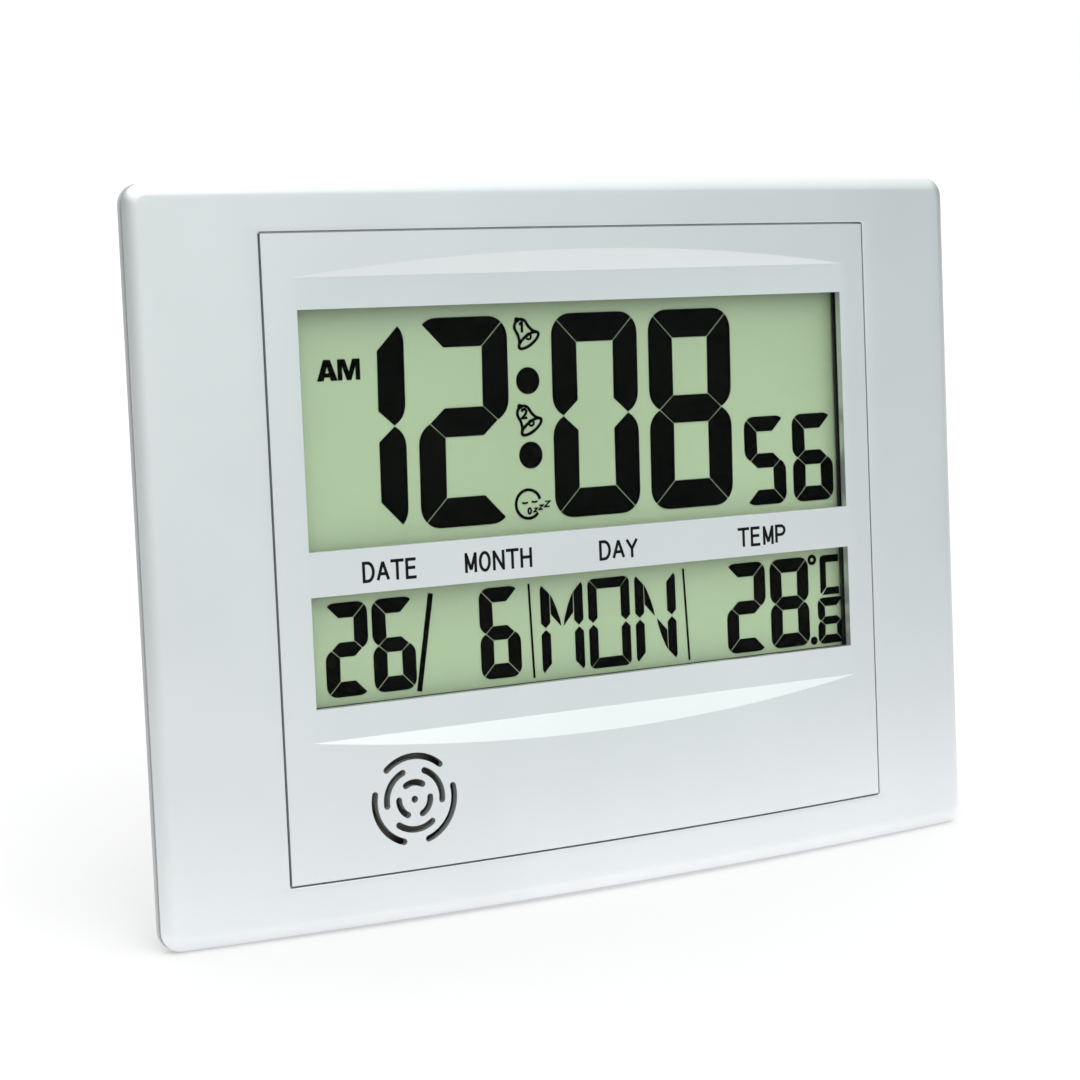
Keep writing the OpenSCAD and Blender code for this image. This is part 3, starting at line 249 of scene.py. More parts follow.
def layered_rubber():
    """Contact strips: conducting black layers between pink silicone."""
    material = Material("strip_rubber")
    wave = material.add("ShaderNodeTexWave", bands_direction="X", Scale=700, Distortion=0.3)
    material.link(material.place, wave.inputs["Vector"])
    material.colour(wave.outputs["Fac"], [(0.3, linear(40, 34, 36)), (0.5, linear(216, 150, 158))])
    material.set(Roughness=0.6)
    return material.data


def solder_mask():
    """Green board with copper tracks under the mask."""
    material = Material("board_green")
    bricks = material.add("ShaderNodeTexBrick", offset=0.5, Scale=90)
    bricks.inputs["Mortar Size"].default_value = 0.035
    turned = material.add("ShaderNodeMapping")
    turned.inputs["Rotation"].default_value = (math.pi / 2, 0, 0)
    material.link(material.place, turned.inputs["Vector"])
    material.link(turned.outputs["Vector"], bricks.inputs["Vector"])
    tracks = bricks.outputs["Fac"]
    material.colour(tracks, [(0.2, linear(24, 92, 50)), (0.8, linear(46, 128, 70))])
    material.roughness(material.noise(size_mm=3), low=0.25, high=0.4)
    material.bump(tracks, depth_mm=0.03, strength=0.5)
    return material.data


# Each finish: dark and light shade, then roughness, and for a moulded one the size and depth of its grain in
# millimetres; for a clear one the tint and how much of it covers what lies behind
silver = moulded(
    "silver_paint", (199, 205, 205), (203, 209, 209), 0.4, 0.35, 0.004, metallic=0.7, patch_mm=60
)
rear_plastic = moulded(
    "rear_plastic", (178, 181, 182), (180, 183, 184), 0.55, 0.6, 0.02, edge_mm=0.3, patch_mm=3
)
black_plastic = moulded("black_plastic", (20, 21, 21), (27, 28, 28), 0.5, 0.5, 0.02, edge_mm=0.15)
button_grey = moulded("button_grey", (58, 60, 62), (66, 68, 70), 0.48, 0.5, 0.02)
clear_lens = clear("clear_lens", (40, 46, 44), 0.02)
lcd_glass = clear("lcd_glass", (34, 42, 36), 0.012)
lcd_ink = moulded("lcd_ink", (5, 5, 4), (8, 8, 6), 0.5, 0.6, 0.0005, gloss=0.0)
lcd_green = display_green()
reflector_film = brushed("reflector_film", (196, 199, 197), (212, 214, 212), 0.35)
strip_rubber = layered_rubber()
board_green = solder_mask()
resin_black = moulded("resin_black", (16, 16, 17), (24, 24, 25), 0.22, 2.5, 0.03)
component_grey = moulded("component_grey", (58, 52, 48), (74, 66, 60), 0.4, 0.8, 0.02)
steel = brushed("steel", (176, 178, 180), (200, 201, 203), 0.3)
# Buzzer disc: its brass tone darkened to a dull grey, painted shade for the dim cavity seen through the speaker
# slots
shade_darkened_brass = brushed("buzzer_brass", (92, 92, 84), (112, 111, 101), 0.5)
ceramic = moulded("buzzer_ceramic", (216, 216, 208), (228, 227, 218), 0.35, 0.6, 0.01)
lead_red = moulded("lead_red", (170, 24, 20), (188, 32, 26), 0.38, 0.6, 0.01)
lead_black = moulded("lead_black", (22, 22, 22), (32, 32, 32), 0.38, 0.6, 0.01)
cell_sleeve = moulded("cell_sleeve", (56, 60, 66), (64, 68, 74), 0.3, 1.2, 0.01)
cell_band = moulded("cell_band", (176, 112, 62), (190, 126, 72), 0.28, 1.2, 0.01)
print_grey = moulded("print_grey", (9, 10, 11), (13, 14, 15), 0.55, 0.3, 0.004, gloss=0.1)

# The finish of each of the record's material slots
FINISHES = {
    "rear_plastic": rear_plastic,
    "black_plastic": black_plastic,
    "button_grey": button_grey,
    "clear_lens": clear_lens,
    "lcd_glass": lcd_glass,
    "lcd_ink": lcd_ink,
    "lcd_green": lcd_green,
    "reflector_film": reflector_film,
    "strip_rubber": strip_rubber,
    "board_green": board_green,
    "resin_black": resin_black,
    "component_grey": component_grey,
    "steel": steel,
    "buzzer_brass": shade_darkened_brass,
    "buzzer_ceramic": ceramic,
    "lead_red": lead_red,
    "lead_black": lead_black,
    "cell_sleeve": cell_sleeve,
    "silver_paint": silver,
}


# Meshes


def new_object(name, points, faces, materials):
    """A mesh object from upright points in millimetres."""
    mesh = bpy.data.meshes.new(name)
    mesh.from_pydata([STAND @ Vector(point) for point in points], [], faces)
    for material in materials:
        mesh.materials.append(material)
    obj = bpy.data.objects.new(name, mesh)
    bpy.context.scene.collection.objects.link(obj)
    return obj


def settle(obj, body="case", sharp=30):
    """Shades a piece, sharp at edges over so many degrees, and parents it to its body's empty."""
    obj.data.shade_smooth()
    obj.data.set_sharp_from_angle(angle=math.radians(sharp))
    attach(obj, body)
    return obj


def mix(a, b, share):
    """Value that lies a share of the way from a to b."""
    return a + (b - a) * share


def rounded_loop(half, low, high, r):
    """Points (x, z) round a rectangle with round corners, from its lower left, as seen from the front."""
    side_steps = (44, 32)
    corner_steps = 8
    # Middle and first angle of each corner's round
    centres = [
        (half - r, low + r, -90),
        (half - r, high - r, 0),
        (r - half, high - r, 90),
        (r - half, low + r, 180),
    ]

    def on_round(k, degrees):
        x, z, start = centres[k]
        angle = math.radians(start + degrees)
        return x + r * math.cos(angle), z + r * math.sin(angle)

    loop = []
    for k in range(4):
        (x0, z0), (x1, z1) = on_round(k - 1, 90), on_round(k, 0)
        steps = side_steps[k % 2]
        loop += [(mix(x0, x1, i / steps), mix(z0, z1, i / steps)) for i in range(steps)]
        loop += [on_round(k, 90 * i / corner_steps) for i in range(corner_steps)]
    return loop


def skin(rings):
    """A closed band of quads through rings of equally many points, from the last ring back to the first."""
    count = len(rings[0])
    points = [point for ring in rings for point in ring]
    faces = []
    for k in range(len(rings)):
        a, b = k * count, (k + 1) % len(rings) * count
        for i in range(count):
            j = (i + 1) % count
            faces.append((a + i, a + j, b + j, b + i))
    return points, faces


def front_frame():
    """The bowed frame: its groove, bevelled edge, face, opening with a ledge, and hollow back."""
    edge_steps, face_steps, round_steps = 10, 8, 4
    least_r = 0.2

    def outline(inset):
        return rounded_loop(BODY_W / 2 - inset, inset, BODY_H - inset, CORNER_R - inset)

    def opening(grow):
        round_r = max(least_r, OPENING_R + grow)
        return rounded_loop(PANEL_HALF + grow, FRAME_END - grow, BODY_H - FRAME_END + grow, round_r)

    def behind(loop, depth):
        return [(x, face_y(x) + depth, z) for x, z in loop]

    rings = [
        [(x, y, z) for x, z in outline(inset)]
        for inset, y in ((RIM_WALL, 0), (GROOVE_DEPTH, 0), (GROOVE_DEPTH, -GROOVE_W), (0, -GROOVE_W))
    ]
    rings.append(behind(outline(0), EDGE_DEPTH))
    for i in range(1, edge_steps + 1):
        angle = math.pi / 2 * i / edge_steps
        inset = EDGE_IN * (1 - max(0, math.cos(angle)) ** EDGE_FLATNESS)
        rings.append(behind(outline(inset), EDGE_DEPTH * (1 - math.sin(angle) ** EDGE_FLATNESS)))
    outer, inner = outline(EDGE_IN), opening(OPENING_ROUND)
    for i in range(1, face_steps + 1):
        share = i / face_steps
        loop = [(mix(a[0], b[0], share), mix(a[1], b[1], share)) for a, b in zip(outer, inner)]
        rings.append(behind(loop, 0))
    for i in range(1, round_steps + 1):
        angle = math.pi / 2 * i / round_steps
        grow = OPENING_ROUND * (1 - math.sin(angle))
        rings.append(behind(opening(grow), OPENING_ROUND * (1 - math.cos(angle))))
    ledge_back = FRONT_WALL + LEDGE_T
    rings.append(behind(opening(0), FRONT_WALL))
    rings.append(behind(opening(-LEDGE_W), FRONT_WALL))
    rings.append(behind(opening(-LEDGE_W), ledge_back))
    rings.append(behind(opening(LEDGE_W), ledge_back))
    rings.append(behind(opening(LEDGE_W), FRONT_WALL))
    rings.append(behind(outline(RIM_WALL), FRONT_WALL))
    obj = new_object("frame_moulding", *skin(rings), [silver])
    settle(obj, sharp=50)
    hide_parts("front_frame")


def spread(stops):
    """Values from a first one on to the end of each (end, steps) pair in equal steps."""
    values = [stops[0]]
    for end, steps in stops[1:]:
        start = values[-1]
        values += [mix(start, end, i / steps) for i in range(1, steps + 1)]
    return values


def panel_column(x):
    """Points (y, z) up one column of the panel's front: bow, slope, flat zone, slope and bow again."""
    face = face_y(x)
    depth = max(0, FLAT_Y - face)
    flat = max(FLAT_Y, face)
    low = ZONE_LOW - depth * LOWER_DROP / FLAT_RECESS
    high = ZONE_HIGH + depth * UPPER_RISE / FLAT_RECESS
    edge = FRAME_END + SEAM
    levels = [ZONE_LOW, (DATE_LOW, 2), (DATE_HIGH, 6), (TIME_LOW, 3), (TIME_HIGH, 12), (ZONE_HIGH, 2)]
    lower = [(face, z) for z in spread([edge, (low, 12)])]
    middle = [(flat, z) for z in spread(levels)]
    upper = [(face, z) for z in spread([high, (BODY_H - edge, 4)])]
    return lower + middle + upper


def in_window(z):
    """Whether a height lies inside one of the windows."""
    return DATE_LOW < z < DATE_HIGH or TIME_LOW < z < TIME_HIGH


def panel_plate():
    """Points and faces of the panel as a closed plate with its two windows."""
    weld = 0.02
    half = PANEL_HALF - SEAM
    columns = spread([-half, (-TIP_X, 4), (-WINDOW_HALF, 1), (WINDOW_HALF, 56), (TIP_X, 1), (half, 4)])
    mesh = bmesh.new()
    grid = [[mesh.verts.new((x, y, z)) for y, z in panel_column(x)] for x in columns]
    for i in range(len(columns) - 1):
        across = abs(columns[i] + columns[i + 1]) / 2 < WINDOW_HALF
        for k in range(len(grid[0]) - 1):
            corners = [grid[i][k], grid[i + 1][k], grid[i + 1][k + 1], grid[i][k + 1]]
            if not (across and in_window((grid[i][k].co.z + grid[i][k + 1].co.z) / 2)):
                mesh.faces.new(corners)
    loose = [vert for vert in mesh.verts if not vert.link_faces]
    bmesh.ops.delete(mesh, geom=loose, context="VERTS")
    bmesh.ops.remove_doubles(mesh, verts=mesh.verts, dist=weld)
    bmesh.ops.dissolve_degenerate(mesh, edges=mesh.edges, dist=weld)
    mesh.verts.index_update()
    front = [tuple(vert.co) for vert in mesh.verts]
    faces = [[vert.index for vert in face.verts] for face in mesh.faces]
    mesh.free()
    count = len(front)
    steps = {(face[i - 1], face[i]) for face in faces for i in range(len(face))}
    walls = [(b, a, a + count, b + count) for a, b in sorted(steps) if (b, a) not in steps]
    backs = [[i + count for i in reversed(face)] for face in faces]
    return front + [(x, y + FRONT_WALL, z) for x, y, z in front], faces + walls + backs


def slot_outline(r, span, middle):
    """Outline of one speaker slot: outer arc, round end, inner arc back and the other round end."""
    arc_steps, end_steps = 20, 8
    first = math.radians(middle) - math.radians(span) / 2
    last = math.radians(middle) + math.radians(span) / 2

    def arc(radius, start, end):
        angles = [mix(start, end, i / arc_steps) for i in range(arc_steps + 1)]
        return [(radius * math.cos(a), radius * math.sin(a)) for a in angles]

    def round_end(at, start):
        x, z = r * math.cos(at), r * math.sin(at)
        angles = [start + math.pi * i / end_steps for i in range(1, end_steps)]
        return [(x + SLOT_W / 2 * math.cos(a), z + SLOT_W / 2 * math.sin(a)) for a in angles]

    outer = arc(r + SLOT_W / 2, first, last)
    inner = arc(r - SLOT_W / 2, last, first)
    return outer + round_end(last, last) + inner + round_end(first, first + math.pi)


def welded(points, faces):
    """Merges points that coincide, and drops the walls that neighbouring prisms share."""
    decimals = 4
    kept, place, index = [], [], {}
    for point in points:
        key = tuple(round(part, decimals) for part in point)
        if key not in index:
            index[key] = len(kept)
            kept.append(point)
        place.append(index[key])
    merged = [[place[i] for i in face] for face in faces]
    uses = Counter(frozenset(face) for face in merged)
    return kept, [face for face in merged if uses[frozenset(face)] == 1]


def prisms(outlines, y0, y1):
    """Closed prisms from outlines of (x, z) that run counter-clockwise seen from the front."""
    points, faces = [], []
    for outline in outlines:
        base, count = len(points), len(outline)
        points += [(x, y0, z) for x, z in outline] + [(x, y1, z) for x, z in outline]
        faces.append([base + i for i in range(count)])
        faces.append([base + count + i for i in reversed(range(count))])
        for i in range(count):
            j = (i + 1) % count
            faces.append((base + j, base + i, base + count + i, base + count + j))
    return welded(points, faces)


def apply_modifiers(obj):
    """Puts what an object's modifiers make into its mesh."""
    bpy.context.view_layer.update()
    evaluated = obj.evaluated_get(bpy.context.evaluated_depsgraph_get())
    mesh = bpy.data.meshes.new_from_object(evaluated)
    obj.modifiers.clear()
    old = obj.data
    obj.data = mesh
    mesh.name = obj.name
    bpy.data.meshes.remove(old)


def front_panel():
    """The inset panel, with the speaker's slots cut through it and its edges softened."""
    reach_past = 2
    sharp_turn = math.radians(50)
    panel = new_object("panel_moulding", *panel_plate(), [silver])
    outlines = [
        moved(slot_outline(r, span, first + 360 / SLOTS_PER_RING * turn), SPEAKER_X, SPEAKER_Z)
        for r, span, first in SLOT_RINGS
        for turn in range(SLOTS_PER_RING)
    ]
    outlines.append(oval(SPEAKER_X, SPEAKER_Z, SLOT_HOLE_D / 2, SLOT_HOLE_D / 2, 24))
    cutter = new_object("slot_cutter", *prisms(outlines, CROWN_Y - reach_past, FLAT_Y + reach_past), [])
    cut = panel.modifiers.new("slots", "BOOLEAN")
    cut.operation = "DIFFERENCE"
    cut.object = cutter
    cut.solver = "EXACT"
    apply_modifiers(panel)
    bpy.data.objects.remove(cutter)
    soften = panel.modifiers.new("soft_edges", "BEVEL")
    soften.width = PANEL_SOFT_EDGE / 1000
    soften.segments = 2
    soften.limit_method = "ANGLE"
    soften.angle_limit = sharp_turn
    apply_modifiers(panel)
    settle(panel, sharp=20)
    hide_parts("front_panel")


# Signs of the display


def stroke(points, width, closed=False):
    """Outlines of a line of constant width: one quad for each step, with mitred joints."""
    least_cosine = 0.4
    count = len(points)
    offsets = []
    for i, (x, z) in enumerate(points):
        before = points[i - 1] if closed or i > 0 else None
        after = points[(i + 1) % count] if closed or i < count - 1 else None
        ways = []
        if before:
            ways.append(Vector((x - before[0], z - before[1])).normalized())
        if after:
            ways.append(Vector((after[0] - x, after[1] - z)).normalized())
        along = (ways[0] + ways[-1]).normalized()
        across = Vector((-along.y, along.x))
        reach = width / 2 / max(least_cosine, along.dot(ways[0]))
        offsets.append(across * reach)
    quads = []
    for i in range(count if closed else count - 1):
        j = (i + 1) % count
        a, b, u, v = Vector(points[i]), Vector(points[j]), offsets[i], offsets[j]
        quads.append([tuple(a - u), tuple(b - v), tuple(b + v), tuple(a + u)])
    return quads


def oval(x, z, half_x, half_z, steps=28, start=0, end=360):
    """Points along an ellipse, or a part of it from start to end in degrees."""
    whole = end - start == 360
    turns = [math.radians(mix(start, end, i / steps)) for i in range(steps if whole else steps + 1)]
    return [(x + half_x * math.cos(a), z + half_z * math.sin(a)) for a in turns]


def moved(points, x, z):
    """An outline moved by x and z."""
    return [(x + u, z + v) for u, v in points]


def sign(name, outlines, front=INK_FRONT, back=INK_BACK, material=lcd_ink):
    """Flat signs, by default in the layer between the two glasses."""
    return settle(new_object(name, *prisms(outlines, front, back), [material]))


def digit_layer():
    """The digits' segments, kept a hair clear of both glasses so that no faces coincide."""
    node = NODES["lcd_segments"]
    upright = STAND.inverted() @ node.matrix_world
    points = [upright @ vert.co for vert in node.data.vertices]
    middle = sum(point.y for point in points) / len(points)
    points = [(point.x, INK_FRONT if point.y < middle else INK_BACK, point.z) for point in points]
    faces = [list(face.vertices) for face in node.data.polygons]
    digits = new_object("digit_layer", points, faces, [lcd_ink])
    settle(digits)
    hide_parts("lcd_segments")


def bell(x, z, number):
    """Outlines of a tilted alarm bell about its middle: body, mouth, clapper, knob and its number."""
    tilt = math.radians(32)
    cosine, sine = math.cos(tilt), math.sin(tilt)
    line, figure_line, thin_line = 0.8, 0.7, 0.6

    def place(points):
        turned = [(cosine * u - sine * v, sine * u + cosine * v) for u, v in points]
        return moved(turned, x - 0.65, z - 0.1)

    side = [(3.5, -2.2), (2.5, -0.9), (2.0, 0.7)]
    body = side + oval(0, 2.0, 2.0, 2.0, 12, 0, 180) + [(-u, v) for u, v in reversed(side)]
    lines = stroke(place(body), line)
    lines += stroke(place(oval(0, -2.4, 3.6, 1.35)), line, closed=True)
    lines += stroke(place(oval(0.5, -1.55, 0.75, 0.75, 16)), thin_line, closed=True)
    lines += stroke(place(oval(0, 4.2, 0.45, 0.45, 12)), thin_line, closed=True)
    figures = {
        1: [(-0.65, 0.75), (0.2, 1.35), (0.2, -1.4)],
        2: [(-0.8, 0.6), (-0.5, 1.2), (0.25, 1.3), (0.7, 0.7), (0.45, 0.0), (-0.7, -1.1), (0.9, -1.1)],
    }
    return lines + stroke(moved(figures[number], x - 1.55, z + 1.4), figure_line)


def doze_sign(x, z):
    """Outlines of a dozing round face: open ring, closed eyes, mouth and rising letters z."""
    face_r = 3.9
    ring_line, eye_line, mouth_line, letter_line = 0.8, 0.5, 0.45, 0.42
    eye = [(-0.9, 0.1), (0, -0.1), (0.9, 0.1)]
    letter = [(-0.8, 0.9), (1.1, 0.9), (-1.1, -0.9), (0.8, -0.9)]
    lines = stroke(oval(x, z, face_r, face_r, 30, 18, 318), ring_line)
    for u, v in ((-1.05, 0.35), (1.95, 0.5)):
        lines += stroke(moved(eye, x + u, z + v), eye_line)
    lines += stroke(oval(x + 0.3, z - 1.9, 0.45, 0.8, 16), mouth_line, closed=True)
    for u, v, size in ((2.2, -1.75, 0.5), (3.9, -1.15, 0.62), (5.95, -0.35, 0.8)):
        lines += stroke([(x + u + a * size, z + v + b * size) for a, b in letter], letter_line)
    return lines


def morning_sign(x, z):
    """Outlines of heavy letters A and M, from their lower left corner."""
    a_width, m_start, m_width, height = 5.9, 6.0, 6.5, 5.5
    leg = [(0, 0), (1.9, 0), (2.95, 3.75), (2.95, height), (2.0, height)]
    other = [(a_width - u, v) for u, v in reversed(leg)]
    bar = [(2.1, 0.9), (3.8, 0.9), (3.4, 2.0), (2.5, 2.0)]
    half = [(0, 0), (1.3, 0), (1.3, 3.7), (2.6, 0)]
    top = [(0, height), (2.15, height)]
    em = half + [(m_width - u, v) for u, v in reversed(half)]
    em += [(m_width - u, v) for u, v in top] + [(m_width / 2, 2.2)] + list(reversed(top))
    return [moved(outline, x, z) for outline in (leg, other, bar)] + [moved(em, x + m_start, z)]


def weekday():
    """The weekday in starburst segments: each letter has the same cell of bars and diagonals."""
    low, high, width, bar = 59.6, 84.6, 13.6, 2.9
    mid = (low + high) / 2
    half = (high - low) / 2
    side = [(0, 1.6), (bar / 2, 0.25), (bar, 1.6), (bar, half - bar), (0.5, half - 0.5), (0, half - 1.4)]
    cap = [
        (bar + 0.2, half - bar), (width - bar - 0.2, half - bar), (width - 0.7, half - 0.4),
        (width - 1.6, half), (1.6, half), (0.7, half - 0.4),
    ]
    slope = [
        (bar + 0.25, half - bar - 0.2), (bar + 0.3, 3.9), (width / 2 - 0.4, 0.4), (width / 2 - 0.7, 2.2),
        (width / 2 - 1.8, 5.6), (width / 2 - 3.0, 8.3),
    ]

    def across(points):
        return [(width - u, v) for u, v in reversed(points)]

    def upside(points):
        return [(u, -v) for u, v in reversed(points)]

    uprights = [side, across(side), upside(side), upside(across(side))]
    # Left edge and segments of each letter
    letters = (
        (-15.3, uprights + [slope, across(slope)]),
        (0.0, uprights + [cap, upside(cap)]),
        (15.4, uprights + [slope, upside(across(slope))]),
    )
    return [moved(outline, x, mid) for x, outlines in letters for outline in outlines]


def celsius():
    """Outlines of the letter of the temperature's unit, in three bars."""
    left, right, low, high, bar = 79.9, 86.6, 73.2, 84.8, 2.1
    upright = [
        (left, low + 0.9), (left + 0.3, low + 0.4), (left + bar, low + bar + 0.15), (left + bar, high - bar),
        (left + bar, high), (left + 1.1, high), (left + 0.3, high - 0.35), (left, high - 1.1),
    ]
    top = [(left + bar, high - bar), (right, high - bar), (right, high), (left + bar, high)]
    bottom = [(left + 0.7, low), (right, low), (right, low + bar), (left + bar + 0.2, low + bar)]
    return [upright, top, bottom]


def display_signs():
    """Words, icons and rules of the display beside its digits."""
    slash_w, rule_w, ring_w = 1.5, 0.6, 0.95
    sign("morning_sign", morning_sign(-79.4, 142.7))
    sign("first_bell", bell(-16.1, 153.2, 1))
    sign("second_bell", bell(-16.3, 129.8, 2))
    sign("doze_sign", doze_sign(-17.7, 106.7))
    sign("date_slash", stroke([(-53.7, 59.2), (-49.1, 85.0)], slash_w))
    sign("first_rule", stroke([(-18.1, 59.1), (-18.8, 85.0)], rule_w))
    sign("second_rule", stroke([(33.0, 58.9), (31.9, 85.0)], rule_w))
    sign("weekday_sign", weekday())
    sign("degree_ring", stroke(oval(77.1, 83.8, 1.05, 1.05, 24), ring_w, closed=True))
    sign("celsius_sign", celsius())
    sign("tenth_dot", [oval(77.0, 60.1, 1.2, 1.2, 20)])


# Lines of narrow capital letters in a unit box; loose ends run a little under or over it
UNDER, OVER = -0.06, 1.06
GLYPHS = {
    "A": [[(UNDER, 0), (0.5, 1)], [(0.5, 1), (OVER, 0)], [(0.18, 0.34), (0.82, 0.34)]],
    "D": [[(0.4, 0), (0, 0), (0, 1)] + oval(0.4, 0.5, 0.6, 0.5, 14, 90, -90)],
    "E": [[(1, 0), (0, 0), (0, 1), (0.97, 1)], [(0, 0.54), (0.9, 0.54)]],
    "H": [[(0, UNDER), (0, OVER)], [(1, UNDER), (1, OVER)], [(0, 0.53), (1, 0.53)]],
    "M": [[(0, UNDER), (0, OVER)], [(0, 1), (0.5, 0.1)], [(0.5, 0.1), (1, 1)], [(1, UNDER), (1, OVER)]],
    "N": [[(0, UNDER), (0, OVER)], [(0, 1), (1, 0)], [(1, UNDER), (1, OVER)]],
    "O": [oval(0.5, 0.5, 0.5, 0.5, 28, 0, 359.9)],
    "P": [[(0, 0), (0, 1)] + oval(0.52, 0.735, 0.48, 0.265, 12, 90, -90) + [(0, 0.47)]],
    "T": [[(-0.2, 1), (1.2, 1)], [(0.5, 1), (0.5, UNDER)]],
    "Y": [[(UNDER, 1), (0.5, 0.46)], [(0.5, 0.46), (OVER, 1)], [(0.5, 0.5), (0.5, UNDER)]],
}


def lettering(words, x0, x1, z0, z1, line=0.84, space=0.6):
    """Outlines of words in narrow capitals, each line's middle half a line inside the box."""
    step = (x1 - x0 + space) / len(words)
    width = step - space - line
    low, high = z0 + line / 2, z1 - line / 2
    lines = []
    for i, letter in enumerate(words):
        left = x0 + i * step + line / 2
        for path in GLYPHS[letter]:
            lines += stroke([(left + u * width, mix(low, high, v)) for u, v in path], line)
    return lines


def field_labels():
    """Generic field names printed on the bar between the windows."""
    low, high = 89.9, 95.5
    fields = [("DATE", -71.5, -55.2), ("MONTH", -41.0, -20.2), ("DAY", 1.2, 13.8), ("TEMP", 47.8, 64.4)]
    for words, x0, x1 in fields:
        outlines = lettering(words, x0, x1, low, high)
        sign(words.lower() + "_label", outlines, FLAT_Y - PRINT_RISE, FLAT_Y + PRINT_ROOT, print_grey)


# Cells


def lathe(profile, steps=48):
    """Points and faces of a closed turned shape from (along, radius) pairs that start and end on its axis."""
    inner = profile[1:-1]
    points = [(profile[0][0], 0, 0), (profile[-1][0], 0, 0)]
    base = len(points)
    for along, r in inner:
        for i in range(steps):
            angle = 2 * math.pi * i / steps
            points.append((along, r * math.cos(angle), r * math.sin(angle)))
    faces = []
    for k in range(len(inner) - 1):
        for i in range(steps):
            j = (i + 1) % steps
            a, b = base + k * steps, base + (k + 1) * steps
            faces.append((a + i, a + j, b + j, b + i))
    last = base + (len(inner) - 1) * steps
    for i in range(steps):
        j = (i + 1) % steps
        faces.append((0, base + j, base + i))
        faces.append((1, last + i, last + j))
    return points, faces


def battery_cells():
    """Two sleeved cells, nubs opposite ways, in the place of the plain ones."""
    low, high = (STAND.inverted() @ Vector(corner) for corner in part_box("battery_cells"))
    length, r, nub_r, step = 50.5, 7.1, 2.75, 15
    profile = [
        (0, 0), (0, 5.2), (0.25, 5.6), (0.25, 6.6), (0.7, r),
        (34, r), (34.02, r), (48.5, r), (49.0, 6.7), (49.1, 5.6),
        (49.2, 3.4), (49.2, nub_r), (length - 0.3, nub_r), (length, nub_r - 0.4), (length, 0),
    ]
    sleeve_start, band_start, sleeve_end = 0.4, 34.01, 49.05
    finishes = [cell_sleeve, cell_band, steel]
    sleeve, band, metal = range(len(finishes))
    points, faces = lathe(profile)
    y = (low.y + high.y) / 2
    z = (low.z + high.z) / 2
    for name, side in (("lower_cell", 1), ("upper_cell", -1)):
        end = high.x - length if side > 0 else low.x + length
        placed = [(end + side * px, y + side * py, z - side * step / 2 + pz) for px, py, pz in points]
        cell = new_object(name, placed, faces, finishes)
        for face in cell.data.polygons:
            along = sum(points[i][0] for i in face.vertices) / len(face.vertices)
            if along < sleeve_start or along > sleeve_end:
                face.material_index = metal
            else:
                face.material_index = band if along > band_start else sleeve
        settle(cell, sharp=40)
        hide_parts("battery_cells")


# Stage

# Light of the studio that comes from everywhere
GLOW_LEVEL = 0.3
# Light from above, from over the horizon and from the front: the part of the direction that it goes by, the
# values of that part where there is none of it and where it is full, and its full strength
GLOW_ABOVE = ("Z", -0.03, 1.0, 1.45)
GLOW_BAND = ("Z", 0.02, 0.22, 0.16)
GLOW_AHEAD = ("Y", -0.55, -1.0, 0.5)
# The same for the share of light that dark flags at the left and right keep off
FLAG_LEFT = ("X", -0.45, -0.8, 0.75)
FLAG_RIGHT = ("X", 0.86, 0.97, 0.8)
# Where metal mirrors the background as white, and where the light from the side is tinted
BACKDROP = ("Y", 0.75, 0.95, 1.0)
SIDE = ("X", 0.05, 0.6, 1.0)
SIDE_LOW = ("Z", 0.6, 0.2, 1.0)
SIDE_TINT = (0.84, 0.98, 1.0, 1)
WHITE = (1, 1, 1, 1)

# Floor in metres: its greys, the lit patch before the clock, and what lifts it to white as the background
FLOOR_HALF = 30
FLOOR_DARK = (0.44, 0.44, 0.44, 1)
FLOOR_LIGHT = (0.46, 0.46, 0.46, 1)
PATCH_MIDDLE = (0, -0.07, 0)
PATCH_SQUEEZE = (0.25, 1, 1)
PATCH_END, PATCH_FULL = 0.15, 0.03
PATCH_GLOW = 0.68
PATCH_TINT = (1.0, 0.93, 0.97, 1)
FLOOR_LIFT = 0.33


def join(tree, operation, first, second):
    """Output of a math node on two values, each a float or another node's output."""
    node = tree.nodes.new("ShaderNodeMath")
    node.operation = operation
    for socket, value in zip(node.inputs, (first, second)):
        if isinstance(value, float):
            socket.default_value = value
        else:
            tree.links.new(value, socket)
    return node.outputs["Value"]


def shown(tree, path, mirrored=1.0):
    """How far a ray sees the background as white: the camera's, and those that glass or metal send on."""
    metal = join(tree, "MULTIPLY", path["Is Glossy Ray"], mirrored)
    return join(tree, "ADD", join(tree, "ADD", path["Is Camera Ray"], path["Is Transmission Ray"]), metal)


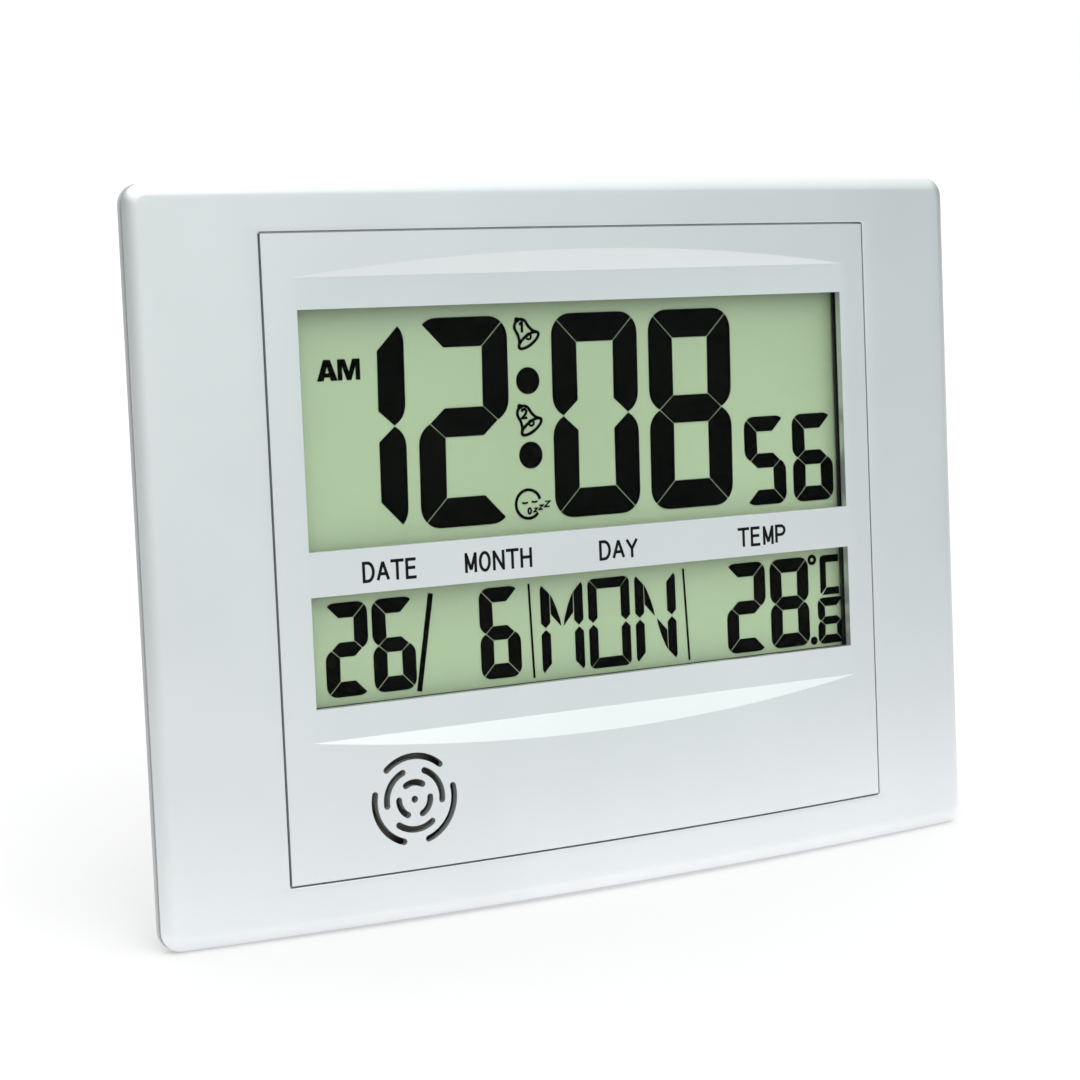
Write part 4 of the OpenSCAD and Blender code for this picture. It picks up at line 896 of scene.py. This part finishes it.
def floor_material():
    """Pale ground that the camera sees as white, with a patch that lights the clock's front from below."""
    ground = Material("pale_floor")
    tree = ground.data.node_tree
    ground.colour(ground.noise(400), [(0.4, FLOOR_DARK), (0.6, FLOOR_LIGHT)])
    ground.set(Roughness=0.9)
    squeezed = ground.add("ShaderNodeMapping")
    squeezed.inputs["Scale"].default_value = PATCH_SQUEEZE
    ground.link(ground.place, squeezed.inputs["Vector"])
    apart = ground.add("ShaderNodeVectorMath", operation="DISTANCE")
    apart.inputs[1].default_value = PATCH_MIDDLE
    ground.link(squeezed.outputs["Vector"], apart.inputs[0])
    near = ground.add("ShaderNodeMapRange", interpolation_type="SMOOTHSTEP")
    near.inputs["From Min"].default_value = PATCH_END
    near.inputs["From Max"].default_value = PATCH_FULL
    near.inputs["To Max"].default_value = PATCH_GLOW
    ground.link(apart.outputs["Value"], near.inputs["Value"])
    path = ground.add("ShaderNodeLightPath").outputs
    unseen = join(tree, "SUBTRACT", 1.0, path["Is Camera Ray"])
    lit = join(tree, "MULTIPLY", near.outputs["Result"], unseen)
    white = join(tree, "MULTIPLY", shown(tree, path), FLOOR_LIFT)
    ground.link(join(tree, "ADD", lit, white), ground.shader.inputs["Emission Strength"])
    tint = ground.ramp(path["Is Camera Ray"], [(0, PATCH_TINT), (1, WHITE)])
    ground.link(tint, ground.shader.inputs["Emission Color"])
    return ground.data


def white_floor():
    """A wide floor at the height of the table."""
    mesh = bpy.data.meshes.new("floor")
    half = FLOOR_HALF
    corners = [(-half, -half, 0), (half, -half, 0), (half, half, 0), (-half, half, 0)]
    mesh.from_pydata(corners, [], [(0, 1, 2, 3)])
    mesh.materials.append(floor_material())
    floor = bpy.data.objects.new("floor", mesh)
    bpy.context.scene.collection.objects.link(floor)


def studio():
    """The world: light by its direction for the clock, and plain white where it is the background."""
    world = bpy.data.worlds.new("studio")
    bpy.context.scene.world = world
    world.use_nodes = True
    tree = world.node_tree
    nodes, links = tree.nodes, tree.links
    background = nodes["Background"]
    way = nodes.new("ShaderNodeSeparateXYZ")
    links.new(nodes.new("ShaderNodeTexCoord").outputs["Generated"], way.inputs["Vector"])

    def glow(part, none, full, strength):
        """Value that grows from nothing to strength as a part of the direction goes from none to full."""
        node = nodes.new("ShaderNodeMapRange")
        node.inputs["From Min"].default_value = none
        node.inputs["From Max"].default_value = full
        node.inputs["To Max"].default_value = strength
        links.new(way.outputs[part], node.inputs["Value"])
        return node.outputs["Result"]

    high = join(tree, "ADD", glow(*GLOW_ABOVE), glow(*GLOW_AHEAD))
    light = join(tree, "ADD", high, join(tree, "ADD", glow(*GLOW_BAND), GLOW_LEVEL))
    flags = join(tree, "ADD", glow(*FLAG_LEFT), glow(*FLAG_RIGHT))
    light = join(tree, "MULTIPLY", light, join(tree, "SUBTRACT", 1.0, flags))
    path = nodes.new("ShaderNodeLightPath").outputs
    white = shown(tree, path, glow(*BACKDROP))
    seen = nodes.new("ShaderNodeMix")
    links.new(white, seen.inputs["Factor"])
    links.new(light, seen.inputs["A"])
    seen.inputs["B"].default_value = 1.0
    links.new(seen.outputs["Result"], background.inputs["Strength"])

    low = join(tree, "MULTIPLY", glow(*SIDE_LOW), join(tree, "SUBTRACT", 1.0, white))
    cool = join(tree, "MULTIPLY", glow(*SIDE), low)
    tint = nodes.new("ShaderNodeMix")
    tint.data_type = "RGBA"
    links.new(cool, tint.inputs["Factor"])
    # A mix node has sockets of each type under the same names, so its colours are found by type
    plain, tinted = (socket for socket in tint.inputs if socket.type == "RGBA")
    plain.default_value = WHITE
    tinted.default_value = SIDE_TINT
    mixed = next(socket for socket in tint.outputs if socket.type == "RGBA")
    links.new(mixed, background.inputs["Color"])


def sun(aim, strength, spread_degrees):
    """A wide soft lamp far away, shining along aim."""
    light = bpy.data.lights.new("sky_lamp", "SUN")
    light.energy = strength
    light.angle = math.radians(spread_degrees)
    obj = bpy.data.objects.new("sky_lamp", light)
    bpy.context.scene.collection.objects.link(obj)
    obj.rotation_euler = Vector(aim).to_track_quat("-Z", "Y").to_euler()


def camera():
    """The photograph's viewpoint, placed and aimed in the upright clock's millimetres."""
    place = Vector((-366.5, -597.8, 151.5))
    aim = Vector((-17.5, -7.1, 97.1))
    roll = math.radians(2.4)
    data = bpy.data.cameras.new("camera")
    data.sensor_width = 36
    data.lens = 84.81
    obj = bpy.data.objects.new("camera", data)
    bpy.context.scene.collection.objects.link(obj)
    turn = (aim - place).to_track_quat("-Z", "Y").to_matrix() @ Matrix.Rotation(-roll, 3, "Z")
    pose = (TURN.to_3x3() @ turn).to_4x4()
    pose.translation = STAND @ place
    obj.matrix_world = pose
    bpy.context.scene.camera = obj


def dress_nodes():
    """Gives every CAD node the finish of its slot."""
    for subpart in frame["record"]["subparts"]:
        mesh = NODES[subpart["node"]].data
        mesh.materials.clear()
        mesh.materials.append(FINISHES[subpart["material_slot"]])


dress_nodes()
front_frame()
front_panel()
digit_layer()
display_signs()
field_labels()
battery_cells()
white_floor()
studio()
sun(aim=(0.25, 0.45, -0.85), strength=0.9, spread_degrees=60)
camera()
bpy.context.scene.view_settings.view_transform = "Standard"
